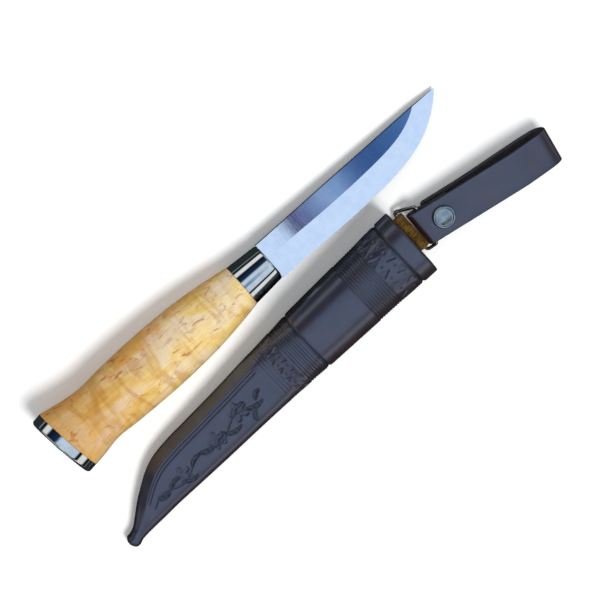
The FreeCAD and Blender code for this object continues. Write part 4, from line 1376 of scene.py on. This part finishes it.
# ---------------------------------------------------------------------------
# Studio
# ---------------------------------------------------------------------------
@dataclass
class Studio:
    """The floor, the light round the object and the camera.

    The room that the metal mirrors is given by bands: a direction in degrees
    from straight up, and a tone. The window is given by places across it.
    """

    target: Point = (-1.43, -0.95, 9.0)
    view_width: float = 263.6
    distance: float = 1100.0
    tilt: float = 9.5
    up: Tuple[float, float] = (0.6534, 0.757)
    sun_power: float = 2.05
    sun_spread: float = 21.0
    sun_height: float = 66.0
    sky_power: float = 0.43
    floor_lift: float = 0.13
    room_bands: Sequence[Tuple[float, str]] = (
        (-90, "wall"), (-84, "dark"), (-76, "dark"), (-70, "white"), (-53, "white"), (-50, "dark"),
        (-43, "dark"), (-40, "pale"), (12, "pale"), (19, "blue"), (46, "dark"), (52, "white"),
        (66, "white"), (72, "dark"), (80, "dark"), (87, "wall"),
    )
    window_span: Tuple[float, float] = (0.10, 0.26)
    window_bands: Sequence[Tuple[float, str]] = (
        (0.1312, "#CFE3FF"), (0.1332, "#3C3560"), (0.1370, "#4A4778"), (0.1440, "#6C80AC"),
        (0.1520, "#8CA8CE"), (0.1590, "#7C9BC8"), (0.1640, "#5674A6"), (0.1700, "#3A5A90"),
        (0.1780, "#36588E"), (0.1900, "#44699E"), (0.2250, "#6A94C6"), (0.2350, "#CFE3FF"),
    )

    def floor(self) -> None:
        """A plain white table top, seamless to the horizon, with a painted dark tone where it shows in
        reflections.
        """
        mesh = bmesh.new()
        bmesh.ops.create_grid(mesh, x_segments=1, y_segments=1, size=3.0)
        data = bpy.data.meshes.new("floor")
        mesh.to_mesh(data)
        mesh.free()
        made = bpy.data.objects.new("floor", data)
        bpy.context.collection.objects.link(made)
        white = bpy.data.materials.new("white_board_painted_dark_in_gloss")
        white.use_nodes = True
        tree = white.node_tree
        shader = tree.nodes["Principled BSDF"]
        path = add(tree, "ShaderNodeLightPath")
        # Painted reflection: glossy rays see the board as a dark grey-blue instead of its white, which
        # darkens the gloss on the leather and metal.
        tone = add(
            tree, "ShaderNodeMix",
            {0: path.outputs["Is Glossy Ray"], 6: grey(0.985), 7: paint("#2A3236")}, **COLOUR_MIX,
        ).outputs[2]
        tree.links.new(tone, shader.inputs["Base Color"])
        shader.inputs["Roughness"].default_value = 1.0
        shader.inputs["Specular IOR Level"].default_value = 0.0
        shader.inputs["Emission Color"].default_value = (1, 1, 1, 1)
        lift = add(
            tree, "ShaderNodeMath", {0: path.outputs["Is Camera Ray"], 1: self.floor_lift},
            operation="MULTIPLY",
        )
        tree.links.new(lift.outputs[0], shader.inputs["Emission Strength"])
        data.materials.append(white)

    def light(self) -> None:
        """One broad lamp, high on the side where the sheath lies."""
        lamp = bpy.data.lights.new("soft_lamp", "SUN")
        lamp.energy = self.sun_power
        lamp.angle = math.radians(self.sun_spread)
        made = bpy.data.objects.new("soft_lamp", lamp)
        bpy.context.collection.objects.link(made)
        tall = math.radians(self.sun_height)
        made.rotation_euler = Vector((0, -math.cos(tall), math.sin(tall))).to_track_quat("Z", "Y").to_euler()
        made.visible_glossy = False

    def sky(self) -> None:
        """White behind the object, soft light on it, and a room in its gloss."""
        world = bpy.data.worlds.new("studio")
        bpy.context.scene.world = world
        world.use_nodes = True
        tree = world.node_tree
        tree.nodes.clear()
        path = add(tree, "ShaderNodeLightPath")
        way = add(tree, "ShaderNodeTexCoord").outputs["Generated"]
        parts = add(tree, "ShaderNodeSeparateXYZ", {0: way}).outputs
        # Angle from straight up towards +Y, as a share of a full turn.
        angle = add(tree, "ShaderNodeMath", {0: parts["Y"], 1: parts["Z"]}, operation="ARCTAN2")
        share = add(tree, "ShaderNodeMapRange", {"Value": angle, "From Min": -math.pi, "From Max": math.pi})
        tones = {
            "pale": paint("#CFE3FF"), "white": paint("#F2F8FF"), "dark": paint("#0C1216"),
            "blue": paint("#1D3555"), "wall": paint("#7C8994"), "end": paint("#A9B8C6"),
        }
        room = add(
            tree, "ShaderNodeValToRGB", {"Fac": share},
            [(0.5 + degrees / 360, tones[tone]) for degrees, tone in self.room_bands],
        ).outputs["Color"]
        # The room is dark short of its ends, and its end walls are pale.
        along = add(tree, "ShaderNodeMath", {0: parts["X"], 1: parts["X"]}, operation="MULTIPLY")
        for near, far, tone in ((0.16, 0.42, "dark"), (0.50, 0.66, "end")):
            end_share = add(
                tree, "ShaderNodeMapRange", {"Value": along, "From Min": near, "From Max": far},
                interpolation_type="SMOOTHSTEP",
            )
            room = add(
                tree, "ShaderNodeMix", {0: end_share, 6: room, 7: tones[tone]}, **COLOUR_MIX,
            ).outputs[2]
        # A window with a dark frame that only the blade's flat side catches.
        low, high = self.window_span
        across = add(tree, "ShaderNodeMapRange", {"Value": parts["X"], "From Min": low, "From Max": high})
        window = add(
            tree, "ShaderNodeValToRGB", {"Fac": across},
            [((place - low) / (high - low), paint(code)) for place, code in self.window_bands],
        )
        near_side = add(
            tree, "ShaderNodeMapRange", {"Value": parts["Y"], "From Min": -0.30, "From Max": -0.24},
            interpolation_type="SMOOTHSTEP",
        )
        far_side = add(
            tree, "ShaderNodeMapRange",
            {"Value": parts["Y"], "From Min": -0.06, "From Max": -0.02, "To Min": 1.0, "To Max": 0.0},
            interpolation_type="SMOOTHSTEP",
        )
        inside = add(tree, "ShaderNodeMath", {0: near_side, 1: far_side}, operation="MULTIPLY")
        above = add(tree, "ShaderNodeMath", {0: parts["Z"], 1: 0.5}, operation="GREATER_THAN")
        inside = add(tree, "ShaderNodeMath", {0: inside, 1: above}, operation="MULTIPLY")
        room = add(tree, "ShaderNodeMix", {0: inside, 6: room, 7: window}, **COLOUR_MIX).outputs[2]
        gloss = add(tree, "ShaderNodeBackground", {"Color": room, "Strength": 1.0})
        fill = add(
            tree, "ShaderNodeBackground", {"Color": (0.96, 0.98, 1.0, 1), "Strength": self.sky_power},
        )
        plain = add(tree, "ShaderNodeBackground", {"Color": grey(1.0), "Strength": 1.0})
        lit = add(tree, "ShaderNodeMixShader", {0: path.outputs["Is Glossy Ray"], 1: fill, 2: gloss})
        seen = add(tree, "ShaderNodeMixShader", {0: path.outputs["Is Camera Ray"], 1: lit, 2: plain})
        add(tree, "ShaderNodeOutputWorld", {"Surface": seen})

    def camera(self) -> None:
        """The camera over the table, turned so that the knife points up and right."""
        lens = bpy.data.cameras.new("camera")
        lens.sensor_width = 36.0
        lens.lens = 36.0 * self.distance / self.view_width
        lens.clip_start, lens.clip_end = 0.01, 50.0
        made = bpy.data.objects.new("camera", lens)
        bpy.context.collection.objects.link(made)
        lean = math.radians(self.tilt)
        back = Vector((0, math.sin(lean), math.cos(lean)))
        up = Vector((self.up[0], self.up[1], 0))
        up = (up - back * up.dot(back)).normalized()
        side = up.cross(back)
        turn = Matrix((side, up, back)).transposed().to_4x4()
        made.matrix_world = Matrix.Translation((Vector(self.target) + back * self.distance) * MM) @ turn
        bpy.context.scene.camera = made

    def build(self) -> None:
        """Set up the floor, the light and the camera."""
        self.camera()
        self.floor()
        self.light()
        self.sky()
        bpy.context.scene.view_settings.view_transform = "Standard"


def main() -> None:
    """Build every sub-assembly in order."""
    logging.basicConfig(level=logging.INFO, format="%(message)s")
    Studio().build()
    rack = FinishRack()
    Knife(rack).build()
    Sheath(rack).build()
    BeltLoop(rack).build()


if __name__ == "__main__":
    main()
